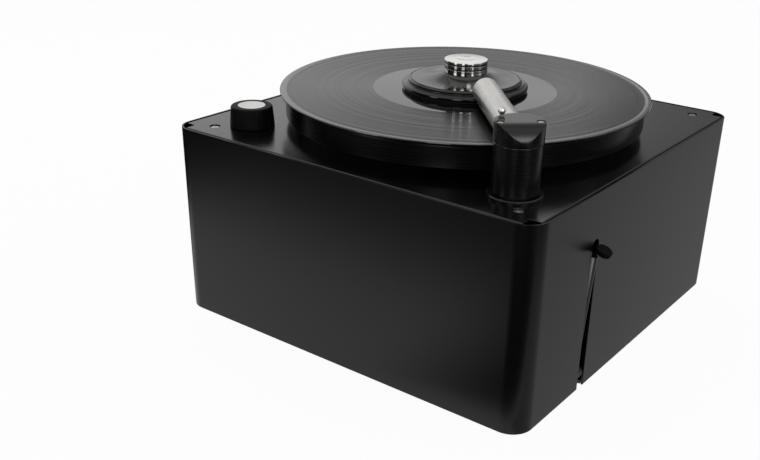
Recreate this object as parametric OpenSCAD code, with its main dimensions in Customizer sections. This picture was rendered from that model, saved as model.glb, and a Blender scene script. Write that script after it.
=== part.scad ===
// Record cleaning machine: a boxed washer for 12 inch records with a turning platter,
// a screw-down clamp and a sprung suction arm that swings over the record.
// Origin: centre of the base plate's underside. X to the right, Y to the back, Z up.

/* [Part to show] */
// Name of one sub-part, or all

/* [Casing] */
// Room from the record's edge to the casing's left and right sides
side_room = 16.5; // [14:0.5:30]
// Room from the record's edge to the casing's front and back
front_room = 16.5; // [14:0.5:30]
// Height of the casing walls
casing_h = 158; // [150:1:175]
// Outer radius of the four upright corners
casing_corner_r = 17; // [14:1:22]
// Thickness of the casing wall
casing_wall = 2; // [1.5:0.1:3]
// Width of the slot for the level tube
slot_w = 9; // [8:0.5:12]
// Height of the slot's round top end
slot_top = 122; // [116:1:130]
// Distance of the slot from the casing's front
slot_front = 89; // [85:1:95]
// Width of one exhaust slit in the back wall
vent_w = 4; // [3:0.5:6]
// Height of one exhaust slit
vent_h = 52; // [30:1:70]
// Distance between exhaust slits
vent_pitch = 11; // [9:1:13]
// Number of exhaust slits
vent_count = 9; // [4:1:10]
// Height of the middle of the exhaust slits
vent_z = 62; // [45:1:80]

/* [Top plate] */
// Thickness of the folded sheet
plate_t = 2; // [1.5:0.1:3]
// Gap between the plate's edge and the casing wall
plate_gap = 1.8; // [1:0.1:2.5]
// Outer radius of the folded edge
plate_bend_r = 2.6; // [2.5:0.1:4]
// Height of the folded edge
plate_edge_h = 12; // [8:1:14]
// Size of the relief cut at each corner
plate_notch = 9.5; // [8:0.5:12]
// Distance of the plate screws from the casing's side
plate_screw_side = 26; // [24:1:30]
// Distance of the plate screws from the casing's front and back
plate_screw_front = 21; // [19:1:24]
// Radius of the sunk screw cups in the plate
cup_r = 4.25; // [4:0.05:5]
// Depth of the screw cups below the sheet
cup_depth = 3; // [2:0.5:4]
// Wall of a screw cup
cup_wall = 1; // [0.8:0.1:1.5]

/* [Base plate and feet] */
// Thickness of the base plate
base_t = 3; // [2:0.5:5]
// Gap between the base plate and the casing wall
base_gap = 0.3; // [0.2:0.1:1]
// Radius of a foot
foot_r = 10; // [8:1:14]
// Height of a foot, up to its corner bracket
foot_h = 7; // [6:0.5:9]
// Distance of a foot's centre from the casing's sides
foot_inset = 27; // [25:1:30]
// Size of the free corner of the base plate round a foot
base_notch = 42; // [38:1:45]
// Size of a corner bracket
corner_tab = 60; // [54:1:64]

/* [Platter and record] */
// Overhang of the record past the platter
platter_inset = 4.5; // [2:0.5:10]
// Thickness of the platter
platter_h = 17; // [14:0.5:20]
// Gap between the top plate and the platter
platter_gap = 7; // [6:0.5:10]
// Thickness of the platter's top web
platter_web = 5; // [3:0.5:7]
// Thickness of the platter's rim wall
platter_rim = 7; // [4:0.5:10]
// Number of ribs under the platter
platter_ribs = 8; // [4:1:12]
// Width of the platter's bare edge outside the mat
mat_inset = 2; // [1:0.5:6]
// Thickness of the mat
mat_t = 1.5; // [1:0.1:3]
// Radius of a 12 inch record
record_r = 150.5; // [150:0.5:151]
// Thickness of the record at its rim and label
record_t = 2; // [1.6:0.1:2.4]
// Depth of the grooved band below the rim
record_step = 0.5; // [0.3:0.1:0.6]
// Width of the record's raised rim
record_rim = 3; // [2:0.5:4]
// Radius of the label
label_r = 50; // [49:0.5:50]
// Radius of the spindle pin through the record
pin_r = 3.55; // [3.5:0.01:3.58]
// Radius of the hole in the record
record_hole_r = 3.63; // [3.62:0.01:3.65]

/* [Spindle and drive] */
// Radius of the spindle shaft
shaft_r = 6; // [5:0.5:7]
// Outer radius of a spindle bearing
bearing_r = 12; // [11:0.5:14]
// Width of a spindle bearing
bearing_w = 6; // [5:0.5:8]
// Radius of the bearing housing's tube
housing_r = 16; // [15:0.5:18]
// Radius of the bearing housing's flange
flange_r = 36; // [34:1:40]
// Thickness of the bearing housing's flange
flange_t = 4; // [3:0.5:6]
// Length of the bearing housing below the plate
housing_len = 44; // [38:1:50]
// Radius of the gearbox
gearbox_r = 30; // [28:1:34]
// Height of the gearbox
gearbox_h = 30; // [24:1:34]
// Radius of the drive motor
motor_r = 25; // [20:1:27]
// Height of the drive motor
motor_h = 28; // [20:1:32]
// Radius of the gearbox's output shaft
output_r = 4; // [3:0.5:5]

/* [Clamp] */
// Radius of the clamp's round base ring
clamp_r = 51.4; // [51:0.1:54]
// Height of the base ring's top above the record
clamp_ring_h = 4.2; // [3.5:0.1:5]
// Radius of the step above the base ring
clamp_step_r = 47.7; // [46:0.1:49]
// Radius of the upper disc
clamp_disc_r = 45.2; // [42:0.1:46]
// Height of the upper disc's rim above the record
clamp_disc_h = 6.9; // [6.5:0.1:8]
// Height of the clamp's neck above the record
clamp_neck_h = 12.9; // [11:0.1:14]
// Radius of the steel knob
clamp_knob_r = 17.65; // [15:0.05:20]
// Height of the steel knob
clamp_knob_h = 10.8; // [9:0.1:13]
// Thickness of the clamp's seal ring
seal_t = 0.6; // [0.4:0.1:1.2]

/* [Suction arm] */
// Radius of the arm tower
tower_r = 16.7; // [15.5:0.1:18]
// Gap between the record's edge and the tower
tower_gap = 9.3; // [7:0.1:12]
// Direction from the spindle to the tower
tower_angle = -44.91; // [-47:0.01:-43]
// Direction in which the suction tube points
tube_angle = 132.7; // [130:0.1:136]
// Radius of the suction tube
tube_r = 10.1; // [9:0.1:11]
// Wall of the suction tube
tube_wall = 1.2; // [0.8:0.1:2]
// Gap between the suction tube's end and the clamp
tip_gap = 1; // [0.8:0.1:4]
// Width of the suction slit
slit_w = 2; // [1:0.1:3]
// Thickness of the two pad strips
pad_t = 0.6; // [0.4:0.1:0.9]
// Gap between the pads and the record's rim
pad_gap = 0.35; // [0.3:0.05:1]
// Radius of the tower's cap
cap_r = 17.2; // [16.9:0.1:18.5]
// Height of the cap above the split
cap_h = 14; // [13:0.1:17]
// Thickness of the tower's base ring
ring_t = 2.5; // [2:0.1:4]
// Radius of the tower's base ring
ring_r = 19.5; // [18.5:0.1:21]
// Outer radius of the stand pipe
pipe_r = 9; // [8.5:0.1:9.2]
// Wall of the stand pipe
pipe_wall = 1.5; // [1:0.1:2]
// Stroke of the arm above its rest height
lift_stroke = 6; // [4:0.5:8]
// Stroke of the arm below its rest height
press_stroke = 0.6; // [0.3:0.1:0.8]
// Wire radius of the lift spring
spring_wire_r = 0.6; // [0.5:0.05:0.7]
// Number of turns of the lift spring
spring_turns = 4; // [3:1:5]

/* [Control knob] */
// Distance of the knob from the casing's left side
knob_side = 47; // [44:1:52]
// Distance of the knob from the casing's front
knob_ahead = 42; // [39:1:47]
// Radius of the knob's foot
knob_r = 17.8; // [15:0.1:19]
// Radius of the knob's top edge
knob_top_r = 16.6; // [14:0.1:18]
// Height of the knob
knob_h = 15.7; // [12:0.1:20]
// Number of grip flutes
knob_flutes = 14; // [10:1:20]
// Radius of the silver disc
inlay_r = 10.9; // [8:0.1:12]
// Radius of the switch shaft
switch_shaft_r = 3; // [2.5:0.1:3.5]

/* [Tank and drain] */
// Thickness of the tank's walls
tank_wall = 2.5; // [2:0.1:4]
// Width of the tank
tank_w = 114; // [100:1:120]
// Depth of the tank
tank_d = 108; // [95:1:115]
// Gap between the tank and the right wall
tank_side_gap = 17; // [15:1:20]
// Gap between the tank and the front wall
tank_front_gap = 5; // [4:0.5:8]
// Distance of the duct from the tank's back
duct_inset = 26; // [22:1:40]
// Outer radius of the level tube
level_r = 2.75; // [2.5:0.05:3]
// Wall of the level tube
level_wall = 0.75; // [0.5:0.05:1]
// Length of the level tube
level_len = 92; // [85:1:94]
// Sideways bow of the level tube
level_bow = 0.6; // [0.3:0.1:1.2]
// Lean of the level tube
level_lean = 3.3; // [2.5:0.1:4]
// Radius of the knurled drain plug
plug_r = 6.1; // [5.5:0.1:7]
// Thickness of the knurled drain plug
plug_t = 3.2; // [2.5:0.1:4]
// Lean of the drain plug
plug_lean = 24; // [15:1:30]

/* [Vacuum motor] */
// Radius of the fan housing
fan_r = 60; // [55:1:62]
// Height of the fan housing
fan_h = 42; // [35:1:46]
// Radius of the motor's frame
frame_r = 42; // [38:1:46]
// Height of the fan's top above the tank lid
fan_step = 1; // [0:0.5:2]
// Gap between the fan housing and the drive's bracket
fan_clear = 8; // [6:1:14]
// Direction from the spindle to the fan
fan_angle = 49.4; // [46:0.1:53]
// Radius of the air duct
duct_r = 14; // [12:0.5:16]
// Gap between the duct and the top plate
duct_headroom = 6.5; // [3:0.5:10]

/* [Mains inlet] */
// Distance of the inlet from the casing's left side
inlet_side = 72; // [60:1:90]
// Height of the inlet
inlet_z = 46; // [35:1:60]
// Height of the rocker switch above the inlet
rocker_rise = 30; // [26:1:36]

/* [Fits] */
// Clearance of a running fit, on the radius
run_gap = 0.05; // [0.02:0.01:0.09]
// Clearance between fixed neighbours
fit_gap = 0.2; // [0.1:0.05:0.3]
// Radius of the small machine screws
screw_r = 1.5; // [1.2:0.1:1.8]
// Radius of the small screws' heads
head_r = 2.7; // [2.4:0.1:3.2]
// Height of the small screws' heads
head_h = 2.2; // [1.6:0.1:2.6]

/* [Hidden] */
$fn = 96;
cut = 1;
half = 0.5;
quarter_turn = 90;
half_turn = 180;
full_turn = 360;

casing_w = 2 * (record_r + side_room);
casing_d = 2 * (record_r + front_room);
inner_w = casing_w - 2 * casing_wall;
inner_d = casing_d - 2 * casing_wall;
inner_corner_r = casing_corner_r - casing_wall;
wall_in_x = inner_w / 2;
wall_in_y = inner_d / 2;

plate_top = casing_h;
plate_low = plate_top - plate_t;
plate_hw = wall_in_x - plate_gap;
plate_hd = wall_in_y - plate_gap;
plate_screw_x = casing_w / 2 - plate_screw_side;
plate_screw_y = casing_d / 2 - plate_screw_front;
plate_screw_r = 2;
plate_head_r = cup_r - 0.6;
plate_head_h = 2.2;
cup_low = plate_low - cup_depth;
cup_floor = cup_low - cup_wall;

screw_hole_r = screw_r + fit_gap;
sheet_t = 2;
bracket_w = 16;
bracket_leg_h = 24;
bracket_drop = 10;
boss_r = 5;
bottom_leg_h = 20;
bottom_leg_w = 30;
base_screw_x = wall_in_x - corner_tab + bracket_w / 2;
base_screw_y = wall_in_y - corner_tab + bracket_w / 2;
flat_head_r = 3;
flat_head_h = 1.6;
level_notch = 12;

platter_r = record_r - platter_inset;
mat_r = platter_r - mat_inset;
platter_z = plate_top + platter_gap;
mat_z = platter_z + platter_h;
record_z = mat_z + mat_t;
record_top = record_z + record_t;
groove_top = record_top - record_step;
groove_low = record_z + 0.3;

neck_rise = 1.5;
neck_r = housing_r - 1;
plate_hole_r = neck_r + fit_gap;
housing_top = plate_top + neck_rise;
housing_low = plate_low - housing_len;
shaft_low = housing_low - 8;
spindle_flange_t = 3.6;
spindle_flange_r = 24;
spindle_boss_r = 7.5;
pin_top = record_top + 17;
gearbox_top = housing_low - 20;
bracket_t = 3;
bracket_post_r = 4;
bracket_post_at = flange_r - bracket_post_r - 1;
coupling_r = 9;
coupling_h = 14;
coupling_low = gearbox_top + bracket_t + 1.5;
output_top = coupling_low + 6;
motor_screw_at = 20;

seal_in_r = 36;
knob_axial_gap = 0.1;
insert_r = 8;
insert_flange_r = 11;
insert_flange_t = 2.2;
insert_low = record_top + seal_t + 0.3;
knob_low = record_top + clamp_neck_h + knob_axial_gap;
insert_top = knob_low + 6.5;

tower_reach = record_r + tower_gap + tower_r;
tower_x = tower_reach * cos(tower_angle);
tower_y = tower_reach * sin(tower_angle);
tube_z = record_top + pad_gap + pad_t + tube_r;
tube_off = half_turn + tower_angle - tube_angle;
tube_len = tower_reach * cos(tube_off) - clamp_r - tip_gap;
split_z = tube_z - 0.5;
seam = 0.3;
cap_low = split_z + seam;
cap_top = split_z + cap_h;
ring_top = plate_top + ring_t;
tower_low = ring_top + press_stroke + 0.4;
tower_in_r = tower_r - 3.2;
pipe_top = tube_z - tube_r - press_stroke - 1.6;
seal_hold = 4.2;
tower_step = pipe_top - lift_stroke - seal_hold;
pipe_in_r = pipe_r - pipe_wall;
bush_r = pipe_r + 1.6;
bush_flange_r = tower_in_r - 0.4;
bush_low = ring_top + 0.1;
bush_flange_t = 2.4;
bush_h = 8;
spring_low = bush_low + bush_flange_t + 0.1;
spring_high = tower_step - 0.1;
spring_mid_r = (bush_r + tower_in_r) / 2;
oring_r = 1;
oring_z = tower_step + 1.5;
cap_screw_x = -2.5;
cap_screw_y = 13.5;
cap_sink = 2.6;
pipe_nut_r = 14;
pipe_nut_h = 5;
pipe_shoulder_r = 10.4;
pipe_hole_r = pipe_shoulder_r + fit_gap;

knob_x = knob_side - casing_w / 2;
knob_y = knob_ahead - casing_d / 2;
knob_low_z = plate_top + 1;
switch_neck_r = 4.5;
switch_top = plate_top + 4;

duct_bend_r = 22;
duct_riser = 2;
duct_clip = 1.5;
tank_z = base_t + sheet_t;
tank_x1 = wall_in_x - tank_side_gap;
tank_x0 = tank_x1 - tank_w;
tank_y0 = tank_front_gap - wall_in_y;
tank_y1 = tank_y0 + tank_d;
tank_cx = (tank_x0 + tank_x1) / 2;
tank_cy = (tank_y0 + tank_y1) / 2;
tank_corner_r = 8;
tank_nub_r = 6;
tank_lid_t = 3;
tank_lid_skirt = 8;
tank_lid_top = plate_low - duct_headroom - duct_clip - duct_r - duct_bend_r - duct_riser;
tank_top = tank_lid_top - tank_lid_t;
tank_h = tank_top - tank_z;
pipe_foot = tank_lid_top + 2;
collar_h = 12;
collar_wall = 2.5;

slot_y = slot_front - casing_d / 2;
outlet_back = 12;
outlet_y = slot_y - outlet_back;
level_x = wall_in_x - 3.6;
level_z = 17;
drain_z = 11;
drain_block = 5;
outlet_r = 3.2;
swivel_half = 3.9;
bow_r = (level_len * level_len) / (8 * level_bow);
bow_angle = level_len / bow_r * half_turn / PI;
level_start = level_lean - bow_angle / 2;
level_end = level_lean + bow_angle / 2;
plug_stem_r = level_r - level_wall - 0.05;

fan_reach = flange_r + fan_clear + fan_r;
fan_x = fan_reach * cos(fan_angle);
fan_y = fan_reach * sin(fan_angle);
cushion_h = 10;
frame_z = base_t + cushion_h;
frame_h = tank_lid_top + fan_step - fan_h - frame_z;
fan_z = frame_z + frame_h;
fan_top = fan_z + fan_h;
eye_r = 18;
eye_depth = 12;
duct_wall = 2;
duct_x = fan_x;
duct_y0 = tank_y1 - duct_inset;
duct_over = fan_y - duct_y0 - 2 * duct_bend_r;
duct_drop = tank_lid_top + duct_riser - fan_top + eye_depth / 2;

inlet_x = inlet_side - casing_w / 2;
inlet_y = casing_d / 2;
cap_back = 110;
rocker_z = inlet_z + rocker_rise;

inlet_body_w = 27;
inlet_body_h = 20;
inlet_body_d = 24;
inlet_flange_w = 50;
inlet_flange_h = 25;
inlet_flange_t = 2;
inlet_flange_r = 5;
inlet_body_r = 3;
inlet_screw_at = 20;
rocker_body_w = 19;
rocker_body_h = 27;
rocker_frame_w = 23;
rocker_frame_h = 31;

housing_screw_at = flange_r - 8;

coupling_top = housing_low - 1.5;

lip = 1;
line_w = 0.5;
groove_in = 1.4;

tube_back = -9;

ball_x = 12;
ball_y = 10;
ball_r = 2.5;
ball_neck_r = 1.2;
ball_shank = 6;
ball_rise = 3;

slit_from = tower_gap + tower_r + record_rim + 3;
slit_to = tube_len - 11;
tube_plug_t = 2.5;

knob_hollow_r = 10;
knob_bore = 9;
switch_nut_h = 2.6;

plug_out = 6.8;
plug_up = 5.5;
plug_neck_r = 1.8;
arc_x = bow_r * (1 - cos(bow_angle));
arc_z = bow_r * sin(bow_angle);
level_tip_x = arc_x * cos(level_start) + arc_z * sin(level_start);
level_tip_z = arc_z * cos(level_start) - arc_x * sin(level_start);

clamp_rods = 3;
rod_turn = 5;
rod_at = fan_r + 6;
rod_r = 3;

socket_w = 23.5;
socket_h = 16.5;
socket_depth = 18;

pin_pitch = 7;
blade_t = 2;
blade_w = 4;
blade_len = 12;

function pin_row(x) = x == 0 ? 2 : -2;

rocker_in_w = 15;
rocker_in_h = 21;
rocker_pivot = -2;
rocker_barrel_r = 1.5;
rocker_barrel_in = 1;
rocker_tilt = 6;

// Building blocks

module rounded_box(w, d, r, h) {
    linear_extrude(h)
        rounded_outline(w, d, r);
}

module rounded_outline(w, d, r) {
    square([w - 2 * r, d], center = true);
    square([w, d - 2 * r], center = true);
    for (sx = [-1, 1], sy = [-1, 1])
        translate([sx * (w / 2 - r), sy * (d / 2 - r)])
            circle(r);
}

module tube(outer, inner, h) {
    difference() {
        cylinder(r = outer, h = h);
        translate([0, 0, -cut])
            cylinder(r = inner, h = h + 2 * cut);
    }
}

// A pan head screw: head upward from z = 0, shank downward
module pan_screw(head, head_height, shank, shank_length) {
    socket_r = head / 2;
    difference() {
        union() {
            cylinder(r = head, h = head_height);
            translate([0, 0, -shank_length])
                cylinder(r = shank, h = shank_length + cut);
        }
        translate([0, 0, head_height / 2])
            cylinder(r = socket_r, h = head_height, $fn = 6);
    }
}

// Copies set evenly round the axis
module around(count) {
    for (i = [0 : count - 1])
        rotate(i * full_turn / count)
            children();
}

module at_tower() {
    translate([tower_x, tower_y, 0])
        rotate(tube_angle)
            children();
}

module along_tube(from, length) {
    translate([from, 0, tube_z])
        rotate([0, quarter_turn, 0])
            linear_extrude(length)
                children();
}

module four_corners(x, y) {
    for (sx = [-1, 1], sy = [-1, 1])
        translate([sx * x, sy * y, 0])
            children();
}

// Casing, plates and feet

module casing() {
    color([0.10, 0.10, 0.11]) difference() {
        rounded_box(casing_w, casing_d, casing_corner_r, casing_h);
        translate([0, 0, -cut])
            rounded_box(inner_w, inner_d, inner_corner_r, casing_h + 2 * cut);
        level_slot();
        exhaust_slits();
        inlet_cutouts();
    }
}

module level_slot() {
    straight = slot_top - slot_w / 2;
    translate([wall_in_x - cut, slot_y, 0])
        rotate([0, quarter_turn, 0])
            linear_extrude(casing_wall + 2 * cut)
                union() {
                    translate([-straight, 0])
                        circle(slot_w / 2);
                    translate([-straight, -slot_w / 2])
                        square([straight + cut, slot_w]);
                }
}

module exhaust_slits() {
    middle = (vent_count - 1) / 2;
    for (i = [0 : vent_count - 1])
        translate([fan_x + (i - middle) * vent_pitch, casing_d / 2 + cut, vent_z])
            rotate([quarter_turn, 0, 0])
                linear_extrude(casing_wall + 2 * cut)
                    union() {
                        square([vent_w, vent_h - vent_w], center = true);
                        for (s = [-1, 1])
                            translate([0, s * (vent_h - vent_w) / 2])
                                circle(vent_w / 2);
                    }
}

module inlet_cutouts() {
    translate([inlet_x, inlet_y - casing_wall - cut, 0]) {
        translate([-inlet_body_w / 2 - fit_gap, 0, inlet_z - inlet_body_h / 2 - fit_gap])
            cube([inlet_body_w + 2 * fit_gap, casing_wall + 2 * cut, inlet_body_h + 2 * fit_gap]);
        translate([-rocker_body_w / 2 - fit_gap, 0, rocker_z - rocker_body_h / 2 - fit_gap])
            cube([rocker_body_w + 2 * fit_gap, casing_wall + 2 * cut, rocker_body_h + 2 * fit_gap]);
        for (s = [-1, 1])
            translate([s * inlet_screw_at, 0, inlet_z])
                rotate([-quarter_turn, 0, 0])
                    cylinder(r = screw_hole_r, h = casing_wall + 2 * cut);
    }
}

module top_plate() {
    flat_x = plate_hw - plate_bend_r;
    flat_y = plate_hd - plate_bend_r;
    color([0.16, 0.16, 0.17]) difference() {
        union() {
            translate([0, 0, plate_low])
                linear_extrude(plate_t)
                    union() {
                        square([2 * (plate_hw - plate_notch), 2 * flat_y], center = true);
                        square([2 * flat_x, 2 * (plate_hd - plate_notch)], center = true);
                    }
            for (side = [0, half_turn]) {
                rotate(side)
                    folded_edge(plate_hw, plate_hd - plate_notch);
                rotate(side + quarter_turn)
                    folded_edge(plate_hd, plate_hw - plate_notch);
            }
            four_corners(plate_screw_x, plate_screw_y)
                translate([0, 0, cup_floor])
                    cylinder(r = cup_r + cup_wall, h = plate_low - cup_floor);
        }
        four_corners(plate_screw_x, plate_screw_y) {
            translate([0, 0, cup_low])
                cylinder(r = cup_r, h = plate_top - cup_low + cut);
            translate([0, 0, cup_floor - cut])
                cylinder(r = plate_screw_r + fit_gap, h = cup_wall + 2 * cut);
        }
        plate_holes();
    }
}

module plate_holes() {
    through = plate_t + 2 * cut;
    translate([0, 0, plate_low - cut]) {
        cylinder(r = plate_hole_r, h = through);
        translate([tower_x, tower_y, 0])
            cylinder(r = pipe_hole_r, h = through);
        translate([knob_x, knob_y, 0])
            cylinder(r = switch_neck_r + fit_gap, h = through);
        around(4)
            translate([housing_screw_at, 0, 0])
                cylinder(r = screw_hole_r, h = through);
    }
}

module folded_edge(reach, half_length) {
    translate([reach - plate_bend_r, half_length, plate_top - plate_bend_r])
        rotate([quarter_turn, 0, 0])
            linear_extrude(2 * half_length)
                union() {
                    intersection() {
                        difference() {
                            circle(plate_bend_r);
                            circle(plate_bend_r - plate_t);
                        }
                        square(plate_bend_r);
                    }
                    translate([plate_bend_r - plate_t, -(plate_edge_h - plate_bend_r)])
                        square([plate_t, plate_edge_h - plate_bend_r]);
                }
}

module base_plate() {
    free = base_notch + cut;
    color([0.13, 0.13, 0.14]) difference() {
        base_outline(base_t);
        translate([wall_in_x - level_notch, slot_y - slot_w / 2, -cut])
            cube([level_notch + cut, slot_w, base_t + 2 * cut]);
        each_corner() {
            translate([wall_in_x - base_notch, wall_in_y - base_notch, -cut])
                cube([free, free, base_t + 2 * cut]);
            translate([base_screw_x, base_screw_y, 0])
                flat_screw_shape(fit_gap, base_t + cut);
        }
    }
}

module base_outline(h) {
    rounded_box(inner_w - 2 * base_gap, inner_d - 2 * base_gap, inner_corner_r - base_gap, h);
}

// A countersunk screw with its head flush at z = 0 and its shank upward
module flat_screw_shape(gap, length) {
    translate([0, 0, -gap])
        cylinder(r1 = flat_head_r + gap, r2 = screw_r + gap, h = flat_head_h + gap);
    cylinder(r = screw_r + gap, h = length);
}

module rubber_feet() {
    taper = 1.5;
    color([0.05, 0.05, 0.05]) each_corner()
        translate([casing_w / 2 - foot_inset, casing_d / 2 - foot_inset, base_t - foot_h])
            difference() {
                cylinder(r1 = foot_r - taper, r2 = foot_r, h = foot_h);
                translate([0, 0, -cut])
                    cylinder(r = foot_r / 3, h = cut + taper);
            }
}

module top_brackets() {
    shelf_z = cup_floor - bracket_drop;
    left = plate_screw_x - bracket_w / 2;
    color([0.62, 0.63, 0.65]) each_corner()
        difference() {
            union() {
                translate([left, wall_in_y - sheet_t, shelf_z - bracket_leg_h])
                    cube([bracket_w, sheet_t, bracket_leg_h]);
                translate([left, plate_screw_y - boss_r, shelf_z - sheet_t])
                    cube([bracket_w, wall_in_y - plate_screw_y + boss_r, sheet_t]);
                translate([plate_screw_x, plate_screw_y, shelf_z - sheet_t])
                    cylinder(r = boss_r, h = bracket_drop + sheet_t);
            }
            translate([plate_screw_x, plate_screw_y, shelf_z - sheet_t - cut])
                cylinder(r = plate_screw_r, h = bracket_drop + sheet_t + 2 * cut);
        }
}

// The parts made inside are set in all four corners
module each_corner() {
    for (sx = [0, 1], sy = [0, 1])
        mirror([sx, 0, 0])
            mirror([0, sy, 0])
                children();
}

module bottom_brackets() {
    leg_y = wall_in_y - corner_tab + half * bracket_w;
    color([0.62, 0.63, 0.65]) each_corner()
        difference() {
            union() {
                translate([0, 0, base_t])
                    intersection() {
                        base_outline(sheet_t);
                        translate([wall_in_x - corner_tab, wall_in_y - corner_tab, -cut])
                            cube([corner_tab, corner_tab, sheet_t + 2 * cut]);
                    }
                translate([wall_in_x - sheet_t, leg_y, base_t])
                    cube([sheet_t, bottom_leg_w, bottom_leg_h]);
            }
            translate([base_screw_x, base_screw_y, base_t - cut])
                cylinder(r = screw_r, h = sheet_t + 2 * cut);
        }
}

module plate_screws() {
    shank = cup_wall + bracket_drop - sheet_t;
    color([0.75, 0.74, 0.70]) four_corners(plate_screw_x, plate_screw_y)
        translate([0, 0, cup_low])
            pan_screw(plate_head_r, plate_head_h, plate_screw_r, shank);
}

module base_screws() {
    socket_r = 1.2;
    color([0.55, 0.55, 0.56]) each_corner()
        translate([base_screw_x, base_screw_y, 0])
            difference() {
                flat_screw_shape(0, base_t + sheet_t);
                translate([0, 0, -cut])
                    cylinder(r = socket_r, h = cut + flat_head_h / 2, $fn = 6);
            }
}

// Spindle, drive and platter

module bearing_housing() {
    color([0.55, 0.56, 0.58]) difference() {
        union() {
            translate([0, 0, housing_low])
                cylinder(r = housing_r, h = housing_len);
            translate([0, 0, plate_low - flange_t])
                cylinder(r = flange_r, h = flange_t);
            translate([0, 0, plate_low - cut])
                cylinder(r = neck_r, h = housing_top - plate_low + cut);
        }
        translate([0, 0, housing_low - cut])
            cylinder(r = bearing_r - 2, h = housing_top - housing_low + 2 * cut);
        translate([0, 0, housing_low - cut])
            cylinder(r = bearing_r, h = bearing_w + cut);
        translate([0, 0, housing_top - bearing_w])
            cylinder(r = bearing_r, h = bearing_w + cut);
        around(4)
            translate([housing_screw_at, 0, plate_low - flange_t - cut])
                cylinder(r = screw_r, h = flange_t + 2 * cut);
    }
}

module spindle_bearings() {
    color([0.70, 0.71, 0.73]) for (z = [housing_low, housing_top - bearing_w])
        translate([0, 0, z])
            one_bearing();
}

module one_bearing() {
    bore_r = shaft_r + run_gap;
    race = (bearing_r - bore_r) / 4;
    shield = 0.4;
    difference() {
        tube(bearing_r, bore_r, bearing_w);
        for (z = [-cut, bearing_w - shield])
            translate([0, 0, z])
                tube(bearing_r - race, bore_r + race, shield + cut);
    }
}

module housing_screws() {
    color([0.72, 0.72, 0.72]) around(4)
        translate([housing_screw_at, 0, plate_top])
            pan_screw(head_r, head_h, screw_r, plate_t + flange_t);
}

module motor_bracket() {
    post_h = plate_low - flange_t - gearbox_top - bracket_t;
    color([0.60, 0.61, 0.63]) translate([0, 0, gearbox_top])
        difference() {
            union() {
                cylinder(r = flange_r, h = bracket_t);
                rotate(quarter_turn / 2)
                    around(4)
                        translate([bracket_post_at, 0, bracket_t - cut])
                            cylinder(r = bracket_post_r, h = post_h + cut);
            }
            translate([0, 0, -cut])
                cylinder(r = coupling_r + 1, h = bracket_t + 2 * cut);
            around(3)
                translate([motor_screw_at, 0, -cut])
                    cylinder(r = screw_hole_r, h = bracket_t + 2 * cut);
        }
}

module gearbox() {
    well = 12;
    screw_depth = 6;
    rib_out = 2;
    color([0.45, 0.46, 0.48]) translate([0, 0, gearbox_top - gearbox_h])
        difference() {
            union() {
                cylinder(r = gearbox_r, h = gearbox_h);
                around(6)
                    translate([gearbox_r - rib_out / 2, -rib_out, 0])
                        cube([rib_out, 2 * rib_out, gearbox_h]);
            }
            translate([0, 0, gearbox_h - well])
                cylinder(r = output_r + run_gap, h = well + cut);
            around(3)
                translate([motor_screw_at, 0, gearbox_h - screw_depth])
                    cylinder(r = screw_r, h = screw_depth + cut);
        }
}

module drive_motor() {
    top = gearbox_top - gearbox_h;
    fins = 5;
    fin_gap = 2;
    fin_in = 1.5;
    color([0.30, 0.31, 0.33]) translate([0, 0, top - motor_h])
        difference() {
            cylinder(r = motor_r, h = motor_h);
            for (i = [1 : fins])
                translate([0, 0, i * motor_h / (fins + 1) - fin_gap / 2])
                    tube(motor_r + cut, motor_r - fin_in, fin_gap);
        }
}

module motor_screws() {
    screw_bite = 5;
    color([0.72, 0.72, 0.72]) around(3)
        translate([motor_screw_at, 0, gearbox_top + bracket_t])
            pan_screw(head_r, head_h, screw_r, bracket_t + screw_bite);
}

module output_shaft() {
    depth = 11;
    color([0.75, 0.76, 0.78]) translate([0, 0, gearbox_top - depth])
        cylinder(r = output_r, h = output_top - gearbox_top + depth);
}

module shaft_coupling() {
    color([0.66, 0.67, 0.69]) translate([0, 0, coupling_low])
        difference() {
            cylinder(r = coupling_r, h = coupling_top - coupling_low);
            translate([0, 0, -cut])
                cylinder(r = output_r, h = output_top - coupling_low + cut);
            translate([0, 0, shaft_low - coupling_low])
                cylinder(r = shaft_r, h = coupling_h);
            for (z = [3, coupling_top - coupling_low - 3])
                translate([0, 0, z])
                    rotate([0, quarter_turn, 0])
                        cylinder(r = screw_r, h = coupling_r + cut);
        }
}

module spindle() {
    flange_low = platter_z - spindle_flange_t;
    tip = 2;
    color([0.78, 0.79, 0.81]) union() {
        translate([0, 0, shaft_low])
            cylinder(r = shaft_r, h = flange_low - shaft_low + cut);
        translate([0, 0, housing_top + run_gap])
            cylinder(r = spindle_boss_r, h = flange_low - housing_top);
        translate([0, 0, flange_low])
            cylinder(r = spindle_flange_r, h = spindle_flange_t);
        translate([0, 0, flange_low])
            cylinder(r = pin_r, h = pin_top - flange_low - tip);
        translate([0, 0, pin_top - tip])
            cylinder(r1 = pin_r, r2 = pin_r - 1, h = tip);
    }
}

module platter() {
    hub_r = spindle_flange_r + 4;
    under = platter_h - platter_web;
    edge = 0.6;
    rib_w = 3;
    rib_rise = 2;
    color([0.07, 0.07, 0.08]) translate([0, 0, platter_z])
        difference() {
            rotate_extrude()
                difference() {
                    polygon([
                        [0, 0],
                        [platter_r - edge, 0],
                        [platter_r, edge],
                        [platter_r, platter_h - edge],
                        [platter_r - edge, platter_h],
                        [0, platter_h],
                    ]);
                    translate([hub_r, -cut])
                        square([platter_r - platter_rim - hub_r, under + cut]);
                }
            translate([0, 0, -cut])
                cylinder(r = pin_r + fit_gap, h = platter_h + 2 * cut);
        }
    color([0.07, 0.07, 0.08]) translate([0, 0, platter_z])
        around(platter_ribs)
            translate([hub_r - cut, -rib_w / 2, rib_rise])
                cube([platter_r - platter_rim - hub_r + 2 * cut, rib_w, under - rib_rise + cut]);
}

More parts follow.
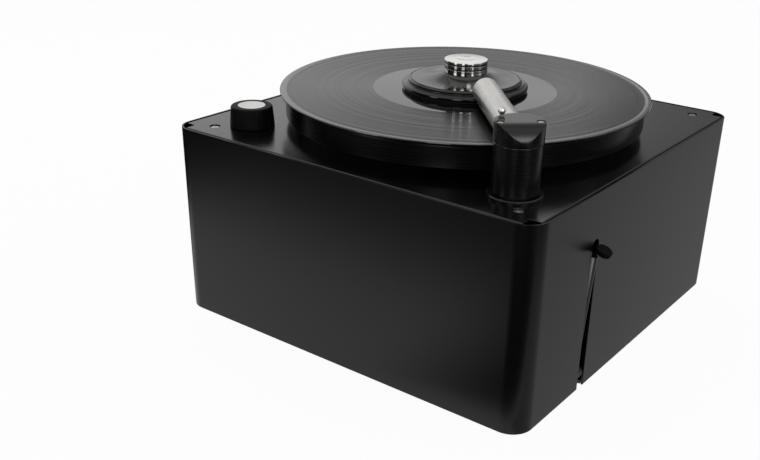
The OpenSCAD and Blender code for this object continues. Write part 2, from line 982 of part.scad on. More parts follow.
module platter_mat() {
    grips = 5;
    band = 18;
    color([0.06, 0.06, 0.06]) translate([0, 0, mat_z])
        difference() {
            cylinder(r = mat_r, h = mat_t);
            translate([0, 0, -cut])
                cylinder(r = pin_r + fit_gap, h = mat_t + 2 * cut);
            for (i = [1 : grips])
                translate([0, 0, mat_t * 2 / 3])
                    tube(label_r + i * band, label_r + i * band - 2, mat_t);
        }
}

module record() {
    inner_rim = record_r - record_rim;
    slope = 1;
    bead = record_t / 2;
    color([0.04, 0.04, 0.045]) rotate_extrude()
        union() {
            polygon([
                [record_hole_r, record_z],
                [label_r, record_z],
                [label_r + slope, groove_low],
                [inner_rim - slope, groove_low],
                [inner_rim, record_z],
                [record_r - bead, record_z],
                [record_r - bead, record_top],
                [inner_rim, record_top],
                [inner_rim - slope, groove_top],
                [label_r + slope, groove_top],
                [label_r, record_top],
                [record_hole_r, record_top],
            ]);
            translate([record_r - bead, record_z + bead])
                circle(bead);
        }
}

// Clamp

module clamp_disc() {
    run = clamp_disc_r - lip - clamp_knob_r;
    rise = clamp_neck_h - clamp_disc_h;
    flare_r = (run * run + rise * rise) / (2 * rise);
    bulge = (clamp_ring_h - seal_t) / 2;
    groove_h = 0.8;
    disc_edge = 0.8;
    groove_top_h = clamp_disc_h - disc_edge;
    groove_low_h = groove_top_h - groove_h;
    color([0.03, 0.03, 0.035]) translate([0, 0, record_top])
        rotate_extrude()
            difference() {
                union() {
                    translate([insert_r + run_gap, seal_t])
                        square([clamp_r - bulge - insert_r - run_gap, clamp_ring_h - seal_t]);
                    translate([clamp_r - bulge, seal_t + bulge])
                        circle(bulge);
                    translate([insert_r + run_gap, seal_t])
                        square([clamp_step_r - insert_r - run_gap, groove_low_h - seal_t]);
                    translate([insert_r + run_gap, seal_t])
                        square([clamp_disc_r - groove_in - insert_r - run_gap, groove_top_h]);
                    difference() {
                        translate([insert_r + run_gap, groove_top_h])
                            square([clamp_disc_r - insert_r - run_gap, clamp_neck_h - groove_top_h]);
                        translate([clamp_disc_r - lip, clamp_disc_h + flare_r])
                            circle(flare_r);
                        translate([clamp_disc_r - lip, clamp_disc_h])
                            square([lip + cut, clamp_neck_h]);
                    }
                }
                translate([0, seal_t - cut])
                    square([insert_flange_r + run_gap, insert_low - record_top + insert_flange_t + cut]);
                translate([clamp_disc_r - lip - line_w, clamp_disc_h - line_w])
                    square([line_w, clamp_neck_h]);
            }
}

module clamp_seal() {
    color([0.35, 0.03, 0.03]) translate([0, 0, record_top])
        tube(clamp_r - 1.2, seal_in_r, seal_t);
}

module clamp_insert() {
    thread_top = pin_top + 1.5;
    color([0.72, 0.58, 0.30]) difference() {
        union() {
            translate([0, 0, insert_low])
                cylinder(r = insert_flange_r, h = insert_flange_t - run_gap);
            translate([0, 0, insert_low])
                cylinder(r = insert_r, h = insert_top - insert_low);
        }
        translate([0, 0, insert_low - cut])
            cylinder(r = pin_r + run_gap, h = thread_top - insert_low + cut);
    }
}

module clamp_knob() {
    groove = 1.2;
    depth = 1;
    edge = 0.6;
    dish_r = 8.6;
    dish_depth = 0.9;
    dish_sphere = (dish_r * dish_r + dish_depth * dish_depth) / (2 * dish_depth);
    top = knob_low + clamp_knob_h;
    color([0.80, 0.80, 0.78]) difference() {
        rotate_extrude()
            polygon([
                [0, knob_low],
                [clamp_knob_r - edge, knob_low],
                [clamp_knob_r, knob_low + edge],
                [clamp_knob_r, top - edge],
                [clamp_knob_r - edge, top],
                [0, top],
            ]);
        for (part = [0.41, 0.73])
            translate([0, 0, knob_low + part * clamp_knob_h - groove / 2])
                tube(clamp_knob_r + cut, clamp_knob_r - depth, groove);
        translate([0, 0, top - dish_depth + dish_sphere])
            sphere(dish_sphere);
        translate([0, 0, knob_low - cut])
            cylinder(r = insert_r, h = insert_top - knob_low + cut);
    }
}

// Suction arm

module stand_pipe() {
    below = pipe_nut_h + 4;
    color([0.72, 0.73, 0.75]) translate([tower_x, tower_y, 0])
        difference() {
            union() {
                translate([0, 0, pipe_foot])
                    cylinder(r = pipe_r, h = pipe_top - pipe_foot);
                translate([0, 0, plate_low - below])
                    cylinder(r = pipe_shoulder_r, h = ring_top - plate_low + below);
            }
            translate([0, 0, pipe_foot - cut])
                cylinder(r = pipe_in_r, h = pipe_top - pipe_foot + 2 * cut);
        }
}

module pipe_nut() {
    color([0.60, 0.61, 0.63]) translate([tower_x, tower_y, plate_low - pipe_nut_h])
        difference() {
            cylinder(r = pipe_nut_r, h = pipe_nut_h, $fn = 6);
            translate([0, 0, -cut])
                cylinder(r = pipe_shoulder_r, h = pipe_nut_h + 2 * cut);
        }
}

module tower_ring() {
    stud_r = 1.3;
    stud_angle = -88;
    edge = 0.6;
    color([0.09, 0.09, 0.10]) translate([tower_x, tower_y, plate_top]) {
        rotate_extrude()
            polygon([
                [pipe_shoulder_r, 0],
                [ring_r, 0],
                [ring_r, ring_t - edge],
                [ring_r - edge, ring_t],
                [pipe_shoulder_r, ring_t],
            ]);
        rotate(stud_angle)
            translate([ring_r - half, 0, 0])
                union() {
                    cylinder(r = stud_r, h = ring_t - edge);
                    translate([0, 0, ring_t - edge])
                        sphere(stud_r);
                }
    }
}

module swivel_bush() {
    color([0.85, 0.82, 0.72]) translate([tower_x, tower_y, bush_low])
        difference() {
            union() {
                cylinder(r = bush_flange_r, h = bush_flange_t);
                cylinder(r = bush_r, h = bush_h);
            }
            translate([0, 0, -cut])
                cylinder(r = pipe_r + run_gap, h = bush_h + 2 * cut);
        }
}

// One wire from the bush to the tower's shoulder: rings of points round its helix
module lift_spring() {
    steps = 10;
    sides = 6;
    rise = spring_high - spring_low - 2 * spring_wire_r;
    total = spring_turns * steps;
    points = [
        for (k = [0 : total]) let (
            u = k / total,
            a = full_turn * spring_turns * u
        ) [spring_mid_r * cos(a), spring_mid_r * sin(a), spring_low + spring_wire_r + rise * u, a]
    ];
    echo("least gap between turns", rise / spring_turns - 2 * spring_wire_r);
    ring = [for (k = [0 : total]) let (p = points[k]) [
        for (j = [0 : sides - 1]) let (
            b = full_turn * j / sides,
            out = spring_wire_r * cos(b),
            up = spring_wire_r * sin(b)
        ) [p[0] + out * cos(p[3]), p[1] + out * sin(p[3]), p[2] + up]
    ]];
    verts = [for (k = [0 : total]) for (j = [0 : sides - 1]) ring[k][j]];
    sides_faces = [
        for (k = [0 : total - 1]) for (j = [0 : sides - 1]) [
            k * sides + j,
            (k + 1) * sides + j,
            (k + 1) * sides + (j + 1) % sides,
            k * sides + (j + 1) % sides,
        ]
    ];
    start_face = [[for (j = [0 : sides - 1]) j]];
    end_face = [[for (j = [sides - 1 : -1 : 0]) total * sides + j]];
    color([0.70, 0.70, 0.72]) translate([tower_x, tower_y, 0])
        polyhedron(points = verts, faces = concat(sides_faces, start_face, end_face));
}

module arm_tower() {
    color([0.08, 0.08, 0.09]) at_tower()
        difference() {
            translate([0, 0, tower_low])
                cylinder(r = tower_r, h = split_z - tower_low);
            translate([0, 0, tower_low - cut])
                cylinder(r = tower_in_r, h = tower_step - tower_low + cut);
            cylinder(r = pipe_r + run_gap, h = cap_top);
            translate([0, 0, oring_z])
                cylinder(r = pipe_r + run_gap + 2 * oring_r, h = 2 * oring_r + run_gap);
            along_tube(tube_back, tube_len)
                circle(tube_r);
            for (s = [-1, 1])
                translate([cap_screw_x, s * cap_screw_y, tower_step + 2])
                    cylinder(r = screw_r, h = cap_top - tower_step);
        }
}

module pipe_seal() {
    color([0.05, 0.05, 0.05]) translate([tower_x, tower_y, oring_z + oring_r])
        rotate_extrude()
            translate([pipe_r + run_gap + oring_r, 0])
                circle(oring_r);
}

module arm_cap() {
    chord = 9.5;
    foot_z = record_top + 14.3;
    slope = (cap_top - foot_z) / (cap_r - chord);
    edge = 0.5;
    color([0.10, 0.10, 0.11]) at_tower()
        difference() {
            rotate_extrude()
                polygon([
                    [0, cap_low],
                    [cap_r, cap_low],
                    [cap_r, cap_top - edge],
                    [cap_r - edge, cap_top],
                    [0, cap_top],
                ]);
            along_tube(tube_back, tube_len)
                circle(tube_r);
            translate([0, cap_r, 0])
                rotate([quarter_turn, 0, 0])
                    linear_extrude(2 * cap_r)
                        polygon([
                            [cut - chord, cap_top + slope * cut],
                            [-cap_r - cut, foot_z - slope * cut],
                            [-cap_r - cut, cap_top + slope * cut],
                        ]);
            for (s = [-1, 1])
                translate([cap_screw_x, s * cap_screw_y, 0]) {
                    translate([0, 0, cap_top - cap_sink])
                        cylinder(r = head_r, h = cap_sink + cut);
                    translate([0, 0, cap_low - cut])
                        cylinder(r = screw_r, h = cap_h + cut);
                }
            translate([ball_x, ball_y, cap_top - ball_shank])
                cylinder(r = ball_neck_r, h = ball_shank + cut);
        }
}

module cap_screws() {
    sunk_head = 1.7;
    head_clear = 0.15;
    color([0.75, 0.74, 0.70]) at_tower()
        for (s = [-1, 1])
            translate([cap_screw_x, s * cap_screw_y, cap_top - cap_sink])
                pan_screw(head_r - head_clear, sunk_head, screw_r, cap_h + 6);
}

module ball_stud() {
    color([0.78, 0.77, 0.72]) at_tower()
        translate([ball_x, ball_y, cap_top])
            union() {
                translate([0, 0, -ball_shank])
                    cylinder(r = ball_neck_r, h = ball_shank + ball_rise);
                translate([0, 0, ball_rise])
                    sphere(ball_r);
            }
}

module suction_tube() {
    port_r = 6.5;
    color([0.68, 0.68, 0.66]) at_tower()
        difference() {
            along_tube(tube_back, tube_len - tube_back)
                circle(tube_r);
            along_tube(tube_back - cut, tube_len - tube_back + 2 * cut)
                circle(tube_r - tube_wall);
            translate([0, 0, tube_z - tube_r - cut])
                cylinder(r = port_r, h = tube_r);
            translate([slit_from, -slit_w / 2, tube_z - tube_r - cut])
                cube([slit_to - slit_from, slit_w, tube_r]);
        }
}

module tube_plug() {
    plug_edge = tube_len - 0.6;
    color([0.64, 0.64, 0.62]) at_tower()
        along_tube(plug_edge - tube_plug_t, tube_plug_t)
            circle(tube_r - tube_wall);
}

module arm_pads() {
    inner_edge = 8;
    outer_edge = 36;
    reach = 2 * tube_r;
    pad_r = tube_r + pad_t;
    color([0.09, 0.09, 0.09]) at_tower()
        for (s = [-1, 1])
            along_tube(slit_from - 1, slit_to - slit_from + 3)
                intersection() {
                    difference() {
                        circle(pad_r);
                        circle(tube_r);
                    }
                    polygon([
                        [0, 0],
                        [reach * cos(inner_edge), s * reach * sin(inner_edge)],
                        [reach * cos(outer_edge), s * reach * sin(outer_edge)],
                    ]);
                }
}

// Control knob

module control_knob() {
    flute_r = 1.6;
    flute_out = 0.9;
    flute_at = (knob_r + knob_top_r) / 2 + flute_out;
    skirt_h = 1.6;
    top = knob_low_z + knob_h;
    round_r = 1.5;
    inlay_depth = 0.8;
    skirt_top_r = knob_r - (knob_r - knob_top_r) * skirt_h / knob_h;
    color([0.06, 0.06, 0.065]) translate([knob_x, knob_y, 0])
        difference() {
            rotate_extrude()
                union() {
                    polygon([
                        [0, knob_low_z],
                        [knob_r, knob_low_z],
                        [skirt_top_r, knob_low_z + skirt_h],
                        [knob_top_r, top - round_r],
                        [knob_top_r - round_r, top - round_r],
                        [knob_top_r - round_r, top],
                        [0, top],
                    ]);
                    translate([knob_top_r - round_r, top - round_r])
                        circle(round_r);
                }
            around(knob_flutes)
                translate([flute_at, 0, knob_low_z + skirt_h])
                    cylinder(r = flute_r, h = knob_h);
            translate([0, 0, top - inlay_depth])
                cylinder(r = inlay_r, h = inlay_depth + cut);
            translate([0, 0, knob_low_z - cut])
                cylinder(r = knob_hollow_r, h = switch_nut_h + 1 + cut);
            translate([0, 0, knob_low_z])
                cylinder(r = switch_shaft_r, h = knob_bore);
        }
}

module knob_inlay() {
    disc_t = 0.8;
    color([0.86, 0.86, 0.84]) translate([knob_x, knob_y, knob_low_z + knob_h - disc_t])
        cylinder(r = inlay_r - run_gap, h = disc_t);
}

module switch_shaft() {
    below = 8;
    color([0.70, 0.71, 0.73]) translate([knob_x, knob_y, plate_low - below])
        cylinder(r = switch_shaft_r, h = knob_low_z + knob_bore - plate_low + below);
}

module rotary_switch() {
    wafer_r = 14;
    wafer_h = 22;
    tags = 8;
    tag_w = 2;
    tag_h = 6;
    bore = 9;
    color([0.20, 0.20, 0.22]) translate([knob_x, knob_y, 0])
        difference() {
            union() {
                translate([0, 0, plate_low - wafer_h])
                    cylinder(r = wafer_r, h = wafer_h);
                translate([0, 0, plate_low - cut])
                    cylinder(r = switch_neck_r, h = switch_top - plate_low + cut);
                around(tags)
                    translate([wafer_r - 3, -tag_w / 2, plate_low - wafer_h - tag_h])
                        cube([tag_w / 2, tag_w, tag_h + cut]);
            }
            translate([0, 0, plate_low - bore])
                cylinder(r = switch_shaft_r + run_gap, h = plate_t + knob_h + bore);
        }
}

module switch_nut() {
    color([0.70, 0.71, 0.73]) translate([knob_x, knob_y, plate_top])
        difference() {
            cylinder(r = knob_hollow_r - 2, h = switch_nut_h, $fn = 6);
            translate([0, 0, -cut])
                cylinder(r = switch_neck_r, h = switch_nut_h + 2 * cut);
        }
}

// Tank, drain and level tube

module tank() {
    color([0.80, 0.82, 0.82]) difference() {
        union() {
            translate([tank_cx, tank_cy, tank_z])
                rounded_box(tank_w, tank_d, tank_corner_r, tank_h);
            for (at = [[tank_x0, 1, tank_y0, 1], [tank_x0, 1, tank_y1, -1], [tank_x1, -1, tank_y1, -1]])
                translate([at[0] + 2 * tank_nub_r * at[1], at[2] + 2 * tank_nub_r * at[3], base_t])
                    cylinder(r = tank_nub_r, h = sheet_t + cut);
        }
        translate([tank_cx, tank_cy, tank_z + tank_wall])
            rounded_box(tank_w - 2 * tank_wall, tank_d - 2 * tank_wall, tank_corner_r - tank_wall, tank_h);
        translate([tank_x1 - tank_wall - cut, outlet_y, drain_z])
            rotate([0, quarter_turn, 0])
                cylinder(r = outlet_r, h = tank_wall + 2 * cut);
    }
}

module tank_lid() {
    skirt = 2;
    spigot = 5;
    lid_w = tank_w + 2 * (skirt + fit_gap);
    lid_d = tank_d + 2 * (skirt + fit_gap);
    collar_low = tank_lid_top - cut;
    color([0.74, 0.76, 0.76]) difference() {
        union() {
            translate([tank_cx, tank_cy, tank_top - tank_lid_skirt])
                rounded_box(lid_w, lid_d, tank_corner_r + skirt + fit_gap, tank_lid_skirt + tank_lid_t);
            translate([tower_x, tower_y, collar_low])
                cylinder(r = pipe_r + fit_gap + collar_wall, h = collar_h + cut);
            translate([duct_x, duct_y0, collar_low])
                cylinder(r = duct_r - duct_wall - fit_gap, h = spigot + cut);
        }
        translate([tank_cx, tank_cy, tank_top - tank_lid_skirt - cut])
            rounded_box(
                tank_w + 2 * fit_gap, tank_d + 2 * fit_gap, tank_corner_r + fit_gap, tank_lid_skirt + cut
            );
        translate([tower_x, tower_y, tank_top - cut])
            cylinder(r = pipe_in_r, h = tank_lid_t + 2 * cut);
        translate([tower_x, tower_y, pipe_foot])
            cylinder(r = pipe_r + fit_gap / 2, h = collar_h + cut);
        translate([tower_x, tower_y, tank_lid_top])
            cylinder(r = pipe_in_r, h = pipe_foot - tank_lid_top + cut);
        translate([duct_x, duct_y0, tank_top - cut])
            cylinder(r = duct_r - 2 * duct_wall - fit_gap, h = tank_lid_t + spigot + 2 * cut);
    }
}

module drain_outlet() {
    bore_r = outlet_r - 1.2;
    washer_t = 3;
    color([0.20, 0.20, 0.22]) difference() {
        union() {
            translate([tank_x1 - tank_wall, outlet_y, drain_z])
                rotate([0, quarter_turn, 0])
                    cylinder(r = outlet_r, h = level_x - tank_x1 + tank_wall);
            translate([tank_x1, outlet_y, drain_z])
                rotate([0, quarter_turn, 0])
                    cylinder(r = outlet_r + 2, h = washer_t);
            translate([level_x - drain_block, outlet_y - drain_block, drain_z - drain_block])
                cube([drain_block + outlet_r, 2 * drain_block, 2 * drain_block]);
            translate([level_x, outlet_y, drain_z])
                rotate([-quarter_turn, 0, 0])
                    cylinder(r = outlet_r, h = outlet_back + swivel_half + 0.6);
        }
        translate([tank_x1 - tank_wall - cut, outlet_y, drain_z])
            rotate([0, quarter_turn, 0])
                cylinder(r = bore_r, h = level_x - tank_x1 + tank_wall + cut);
        translate([level_x, outlet_y, drain_z])
            rotate([-quarter_turn, 0, 0])
                cylinder(r = bore_r, h = outlet_back);
    }
}

module drain_swivel() {
    hub_r = 4.9;
    spigot_r = level_r - level_wall - 2 * run_gap;
    spigot = 6;
    color([0.10, 0.10, 0.11]) translate([level_x, slot_y, drain_z])
        difference() {
            union() {
                rotate([quarter_turn, 0, 0])
                    cylinder(r = hub_r, h = 2 * swivel_half, center = true);
                cylinder(r = spigot_r, h = level_z - drain_z);
                translate([0, 0, level_z - drain_z])
                    rotate([0, level_start, 0])
                        translate([0, 0, -spigot_r])
                            cylinder(r = spigot_r, h = spigot + spigot_r);
            }
            rotate([quarter_turn, 0, 0])
                cylinder(r = outlet_r + run_gap, h = 2 * swivel_half + 2 * cut, center = true);
            translate([0, 0, outlet_r - 1])
                cylinder(r = spigot_r / 2, h = level_z + cut);
        }
}

// The level tube is a slice of a large ring, so that it bows a little
module bowed(outer) {
    translate([level_x, slot_y, level_z])
        rotate([0, level_start, 0])
            translate([bow_r, 0, 0])
                mirror([1, 0, 0])
                    rotate([quarter_turn, 0, 0])
                        rotate_extrude(angle = bow_angle)
                            translate([bow_r, 0])
                                circle(outer);
}

module level_tube() {
    color([0.86, 0.88, 0.88, 0.6]) difference() {
        bowed(level_r);
        bowed(level_r - level_wall);
    }
}

module drain_plug() {
    knurls = 24;
    knurl_r = 0.45;
    stem = 6;
    neck_z = 3.4;
    tip_x = level_x + level_tip_x;
    tip_z = level_z + level_tip_z;
    color([0.05, 0.05, 0.05]) union() {
        translate([tip_x, slot_y, tip_z])
            rotate([0, level_end, 0]) {
                translate([0, 0, -stem])
                    cylinder(r = plug_stem_r, h = stem + 1);
                translate([0, 0, run_gap])
                    cylinder(r = plug_neck_r, h = neck_z);
            }
        translate([tip_x, slot_y, tip_z + neck_z])
            sphere(plug_neck_r);
        translate([tip_x, slot_y, tip_z + neck_z])
            rotate([0, atan2(plug_out, plug_up - neck_z), 0])
                cylinder(r = plug_neck_r, h = norm([plug_out, plug_up - neck_z]));
        translate([tip_x + plug_out, slot_y, tip_z + plug_up])
            rotate([0, plug_lean, 0])
                difference() {
                    translate([0, 0, -plug_t / 2])
                        cylinder(r = plug_r, h = plug_t);
                    around(knurls)
                        translate([plug_r + 0.1, 0, -plug_t])
                            cylinder(r = knurl_r, h = 2 * plug_t);
                }
    }
}

// Vacuum side

module air_duct() {
    color([0.12, 0.12, 0.13]) difference() {
        union() {
            duct_path(duct_r, 0);
            duct_collars();
        }
        duct_path(duct_r - duct_wall, cut);
    }
}

// Up from the tank lid, over in two bends and down into the fan's eye
module duct_path(r, past) {
    translate([duct_x, duct_y0, tank_lid_top]) {
        translate([0, 0, -past])
            cylinder(r = r, h = duct_riser + past);
        translate([0, duct_bend_r, duct_riser])
            rotate([quarter_turn, 0, quarter_turn])
                rotate(quarter_turn)
                    duct_bend(r);
        translate([0, duct_bend_r, duct_riser + duct_bend_r])
            rotate([-quarter_turn, 0, 0])
                cylinder(r = r, h = duct_over);
        translate([0, duct_bend_r + duct_over, duct_riser])
            rotate([quarter_turn, 0, quarter_turn])
                duct_bend(r);
        translate([0, fan_y - duct_y0, duct_riser - duct_drop - past])
            cylinder(r = r, h = duct_drop + past);
    }
}

module duct_bend(r) {
    rotate_extrude(angle = quarter_turn)
        translate([duct_bend_r, 0])
            circle(r);
}

// A clip ring over each joint of the duct
module duct_collars() {
    clip_r = duct_r + duct_clip;
    clip_w = 2 * duct_riser;
    translate([duct_x, duct_y0, tank_lid_top]) {
        cylinder(r = clip_r, h = clip_w);
        for (y = [duct_bend_r, duct_bend_r + duct_over])
            translate([0, y - clip_w / 2, duct_riser + duct_bend_r])
                rotate([-quarter_turn, 0, 0])
                    cylinder(r = clip_r, h = clip_w);
        translate([0, fan_y - duct_y0, 0])
            cylinder(r = clip_r, h = clip_w);
    }
}

module vacuum_motor() {
    slots = 12;
    slot_size = 6;
    slot_in = 4;
    slot_down = 22;
    slot_len = 14;
    band_w = 4;
    band_in = 1.5;
    color([0.50, 0.51, 0.53]) translate([fan_x, fan_y, frame_z])
        difference() {
            union() {
                cylinder(r = frame_r, h = frame_h + cut);
                translate([0, 0, frame_h])
                    cylinder(r = fan_r, h = fan_h);
            }
            translate([0, 0, frame_h + fan_h - eye_depth])
                cylinder(r = eye_r, h = eye_depth + cut);
            around(slots)
                translate([frame_r - slot_in, -slot_size / 2, frame_h - slot_down])
                    cube([frame_r, slot_size, slot_len]);
            translate([0, 0, frame_h + fan_h / 2 - band_w / 2])
                tube(fan_r + cut, fan_r - band_in, band_w);
        }
}

module vacuum_cushion() {
    color([0.05, 0.05, 0.05]) translate([fan_x, fan_y, base_t])
        tube(frame_r, frame_r - 12, cushion_h);
}

module vacuum_clamp() {
    ear_r = 6;
    ear_in = 8;
    ring_inset = 4;
    eye_room = 14;
    rod_h = fan_top - base_t;
    color([0.60, 0.61, 0.63]) translate([fan_x, fan_y, 0])
        difference() {
            union() {
                translate([0, 0, fan_top])
                    cylinder(r = fan_r - ring_inset, h = sheet_t);
                rotate(rod_turn)
                    around(clamp_rods) {
                        translate([rod_at, 0, base_t])
                            cylinder(r = rod_r, h = rod_h + cut);
                        translate([rod_at, 0, fan_top])
                            cylinder(r = ear_r, h = sheet_t);
                        translate([fan_r - ear_in, -ear_r, fan_top])
                            cube([rod_at - fan_r + ear_in, 2 * ear_r, sheet_t]);
                    }
            }
            translate([0, 0, fan_top - cut])
                cylinder(r = eye_r + eye_room, h = sheet_t + 2 * cut);
        }
}

// Mains inlet

module at_inlet() {
    translate([inlet_x, inlet_y, inlet_z])
        rotate([quarter_turn, 0, half_turn])
            children();
}

module at_rocker() {
    translate([inlet_x, inlet_y, rocker_z])
        rotate([quarter_turn, 0, half_turn])
            children();
}

module power_inlet() {
    color([0.07, 0.07, 0.075]) at_inlet()
        difference() {
            union() {
                rounded_box(inlet_flange_w, inlet_flange_h, inlet_flange_r, inlet_flange_t);
                translate([0, 0, -inlet_body_d])
                    rounded_box(inlet_body_w, inlet_body_h, inlet_body_r, inlet_body_d + cut);
            }
            translate([0, 0, inlet_flange_t - socket_depth])
                linear_extrude(socket_depth + cut)
                    socket_outline();
            for (s = [-1, 1])
                translate([s * inlet_screw_at, 0, -cut])
                    cylinder(r = screw_hole_r, h = inlet_flange_t + 2 * cut);
            for (x = [-pin_pitch, 0, pin_pitch])
                translate([x - blade_t / 2, pin_row(x) - blade_w / 2, -inlet_body_d - cut])
                    cube([blade_t, blade_w, inlet_body_d]);
        }
}

module socket_outline() {
    chamfer = 5;
    polygon([
        [-socket_w / 2, -socket_h / 2],
        [socket_w / 2, -socket_h / 2],
        [socket_w / 2, socket_h / 2 - chamfer],
        [socket_w / 2 - chamfer, socket_h / 2],
        [chamfer - socket_w / 2, socket_h / 2],
        [-socket_w / 2, socket_h / 2 - chamfer],
    ]);
}

module inlet_pins() {
    rear = 6;
    front = inlet_flange_t - socket_depth + blade_len;
    color([0.80, 0.78, 0.70]) at_inlet()
        for (x = [-pin_pitch, 0, pin_pitch])
            translate([x - blade_t / 2, pin_row(x) - blade_w / 2, -inlet_body_d - rear])
                cube([blade_t, blade_w, inlet_body_d + rear + front]);
}

module inlet_screws() {
    past = 3;
    color([0.72, 0.72, 0.72]) at_inlet()
        for (s = [-1, 1])
            translate([s * inlet_screw_at, 0, inlet_flange_t])
                pan_screw(head_r, head_h, screw_r, inlet_flange_t + casing_wall + past);
}

module rocker_bezel() {
    rim = 1.8;
    body_d = 20;
    floor_t = 6;
    color([0.07, 0.07, 0.075]) at_rocker()
        difference() {
            union() {
                rounded_box(rocker_frame_w, rocker_frame_h, rim, rim);
                translate([0, 0, -body_d])
                    rounded_box(rocker_body_w, rocker_body_h, rim, body_d + cut);
            }
            translate([-rocker_in_w / 2, -rocker_in_h / 2, floor_t - body_d])
                cube([rocker_in_w, rocker_in_h, body_d]);
            rocker_barrel(rocker_in_w / 2 + rocker_barrel_in + fit_gap, rocker_barrel_r + run_gap);
        }
}

module rocker_barrel(half_length, r) {
    translate([-half_length, 0, rocker_pivot])
        rotate([0, quarter_turn, 0])
            cylinder(r = r, h = 2 * half_length);
}

module rocker_button() {
    wide = rocker_in_w - 2 * fit_gap;
    tall = rocker_in_h / 2 - 0.9;
    face = 6.6;
    valley = 4.6;
    heel = -3;
    shoulder = 0.4;
    waist = 2.5;
    color([0.08, 0.08, 0.085]) at_rocker()
        union() {
            translate([-wide / 2, 0, rocker_pivot])
                rotate([rocker_tilt, 0, 0])
                    rotate([quarter_turn, 0, quarter_turn])
                        linear_extrude(wide)
                            polygon([
                                [-tall, face],
                                [0, valley],
                                [tall, face],
                                [tall - shoulder, waist],
                                [tall / 2, heel],
                                [-tall / 2, heel],
                                [shoulder - tall, waist],
                            ]);
            rocker_barrel(rocker_in_w / 2 + rocker_barrel_in, rocker_barrel_r);
        }
}

module capacitor() {
    can_r = 17;
    can_h = 70;
    holder_t = 1.5;
    holder_h = 14;
    tag_r = 1.2;
    tag_h = 8;
    tag_at = 5;
    color([0.75, 0.76, 0.78]) translate([inlet_x, wall_in_y - cap_back, base_t])
        union() {
            cylinder(r = can_r + holder_t, h = holder_h);
            cylinder(r = can_r, h = can_h);
            for (s = [-1, 1])
                translate([s * tag_at, 0, can_h - cut])
                    cylinder(r = tag_r, h = tag_h);
        }
}

casing();
top_plate();
base_plate();
rubber_feet();
top_brackets();
bottom_brackets();
plate_screws();
base_screws();
bearing_housing();
spindle_bearings();
housing_screws();
motor_bracket();
gearbox();
drive_motor();
motor_screws();
output_shaft();
shaft_coupling();
spindle();
platter();
platter_mat();
record();
clamp_disc();
clamp_seal();
clamp_insert();
clamp_knob();
stand_pipe();
pipe_nut();
tower_ring();
swivel_bush();
lift_spring();
arm_tower();
pipe_seal();
arm_cap();
cap_screws();
ball_stud();
suction_tube();
tube_plug();
arm_pads();
control_knob();
knob_inlay();
switch_shaft();
rotary_switch();
switch_nut();
tank();
tank_lid();
drain_outlet();
drain_swivel();
level_tube();
drain_plug();
air_duct();
vacuum_motor();
vacuum_cushion();
vacuum_clamp();
power_inlet();
inlet_pins();
inlet_screws();
rocker_bezel();
rocker_button();
capacitor();
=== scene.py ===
# %% [markdown]
# # Record cleaning machine
# A boxed washer for 12 inch records: a folded black casing, a turning platter, a screw-down clamp
# with a steel knob, and a sprung suction arm on a short tower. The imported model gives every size
# and every moving body. This file dresses that model: it never moves a part, it only makes the
# shown skins and their finishes.

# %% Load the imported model
import math
import bmesh
import bpy
from mathutils import Matrix, Vector


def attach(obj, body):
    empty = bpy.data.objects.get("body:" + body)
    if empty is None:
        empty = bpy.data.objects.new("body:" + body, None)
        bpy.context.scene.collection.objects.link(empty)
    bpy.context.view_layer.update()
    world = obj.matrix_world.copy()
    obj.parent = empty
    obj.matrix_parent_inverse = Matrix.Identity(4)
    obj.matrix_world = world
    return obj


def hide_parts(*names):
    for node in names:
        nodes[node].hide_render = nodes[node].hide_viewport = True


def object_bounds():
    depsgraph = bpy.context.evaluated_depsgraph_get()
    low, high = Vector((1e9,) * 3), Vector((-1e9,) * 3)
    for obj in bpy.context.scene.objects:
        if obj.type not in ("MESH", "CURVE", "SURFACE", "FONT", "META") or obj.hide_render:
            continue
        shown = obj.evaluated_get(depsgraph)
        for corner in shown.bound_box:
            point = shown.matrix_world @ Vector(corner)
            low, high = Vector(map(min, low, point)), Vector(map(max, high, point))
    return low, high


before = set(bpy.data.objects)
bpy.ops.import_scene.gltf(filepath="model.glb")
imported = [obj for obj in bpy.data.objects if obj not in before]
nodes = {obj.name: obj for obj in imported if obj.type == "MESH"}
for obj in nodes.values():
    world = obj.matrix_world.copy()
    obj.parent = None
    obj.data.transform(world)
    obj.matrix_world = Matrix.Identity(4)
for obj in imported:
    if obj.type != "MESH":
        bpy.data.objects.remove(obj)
cad_low, cad_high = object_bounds()
MM = 0.001
print("size in mm:", [round((h - l) / MM, 1) for l, h in zip(cad_low, cad_high)])

# %% [markdown]
# ## Camera
# The camera comes first, so that every later choice is judged from the right place. It stands to
# the right of the front, above the record. Its lens and small shift were found by laying the
# model's known edges over the picture, 760 by 460 points. A tracking constraint could aim it, but
# a matrix built from three directions also holds the picture's slight roll.

# %% Place the camera
PICTURE_W = 760
PICTURE_H = 460
FOCAL_POINTS = 984.0
CENTRE_X = 412.0
CENTRE_Y = 290.0
SENSOR_MM = 36.0
yaw, pitch, roll = (math.radians(degrees) for degrees in (35.75, 26.32, 1.58))
camera_spot = Vector((434.6, -669.9, 393.2)) * MM


def put_in_scene(name, data):
    """A new object from a mesh, curve, lamp or camera, linked to the scene."""
    thing = bpy.data.objects.new(name, data)
    bpy.context.scene.collection.objects.link(thing)
    return thing


forward = Vector((
    -math.sin(yaw) * math.cos(pitch), math.cos(yaw) * math.cos(pitch), -math.sin(pitch),
))
level_right = Vector((math.cos(yaw), math.sin(yaw), 0.0))
level_up = level_right.cross(forward)
right = level_right * math.cos(roll) + level_up * math.sin(roll)
up = level_up * math.cos(roll) - level_right * math.sin(roll)

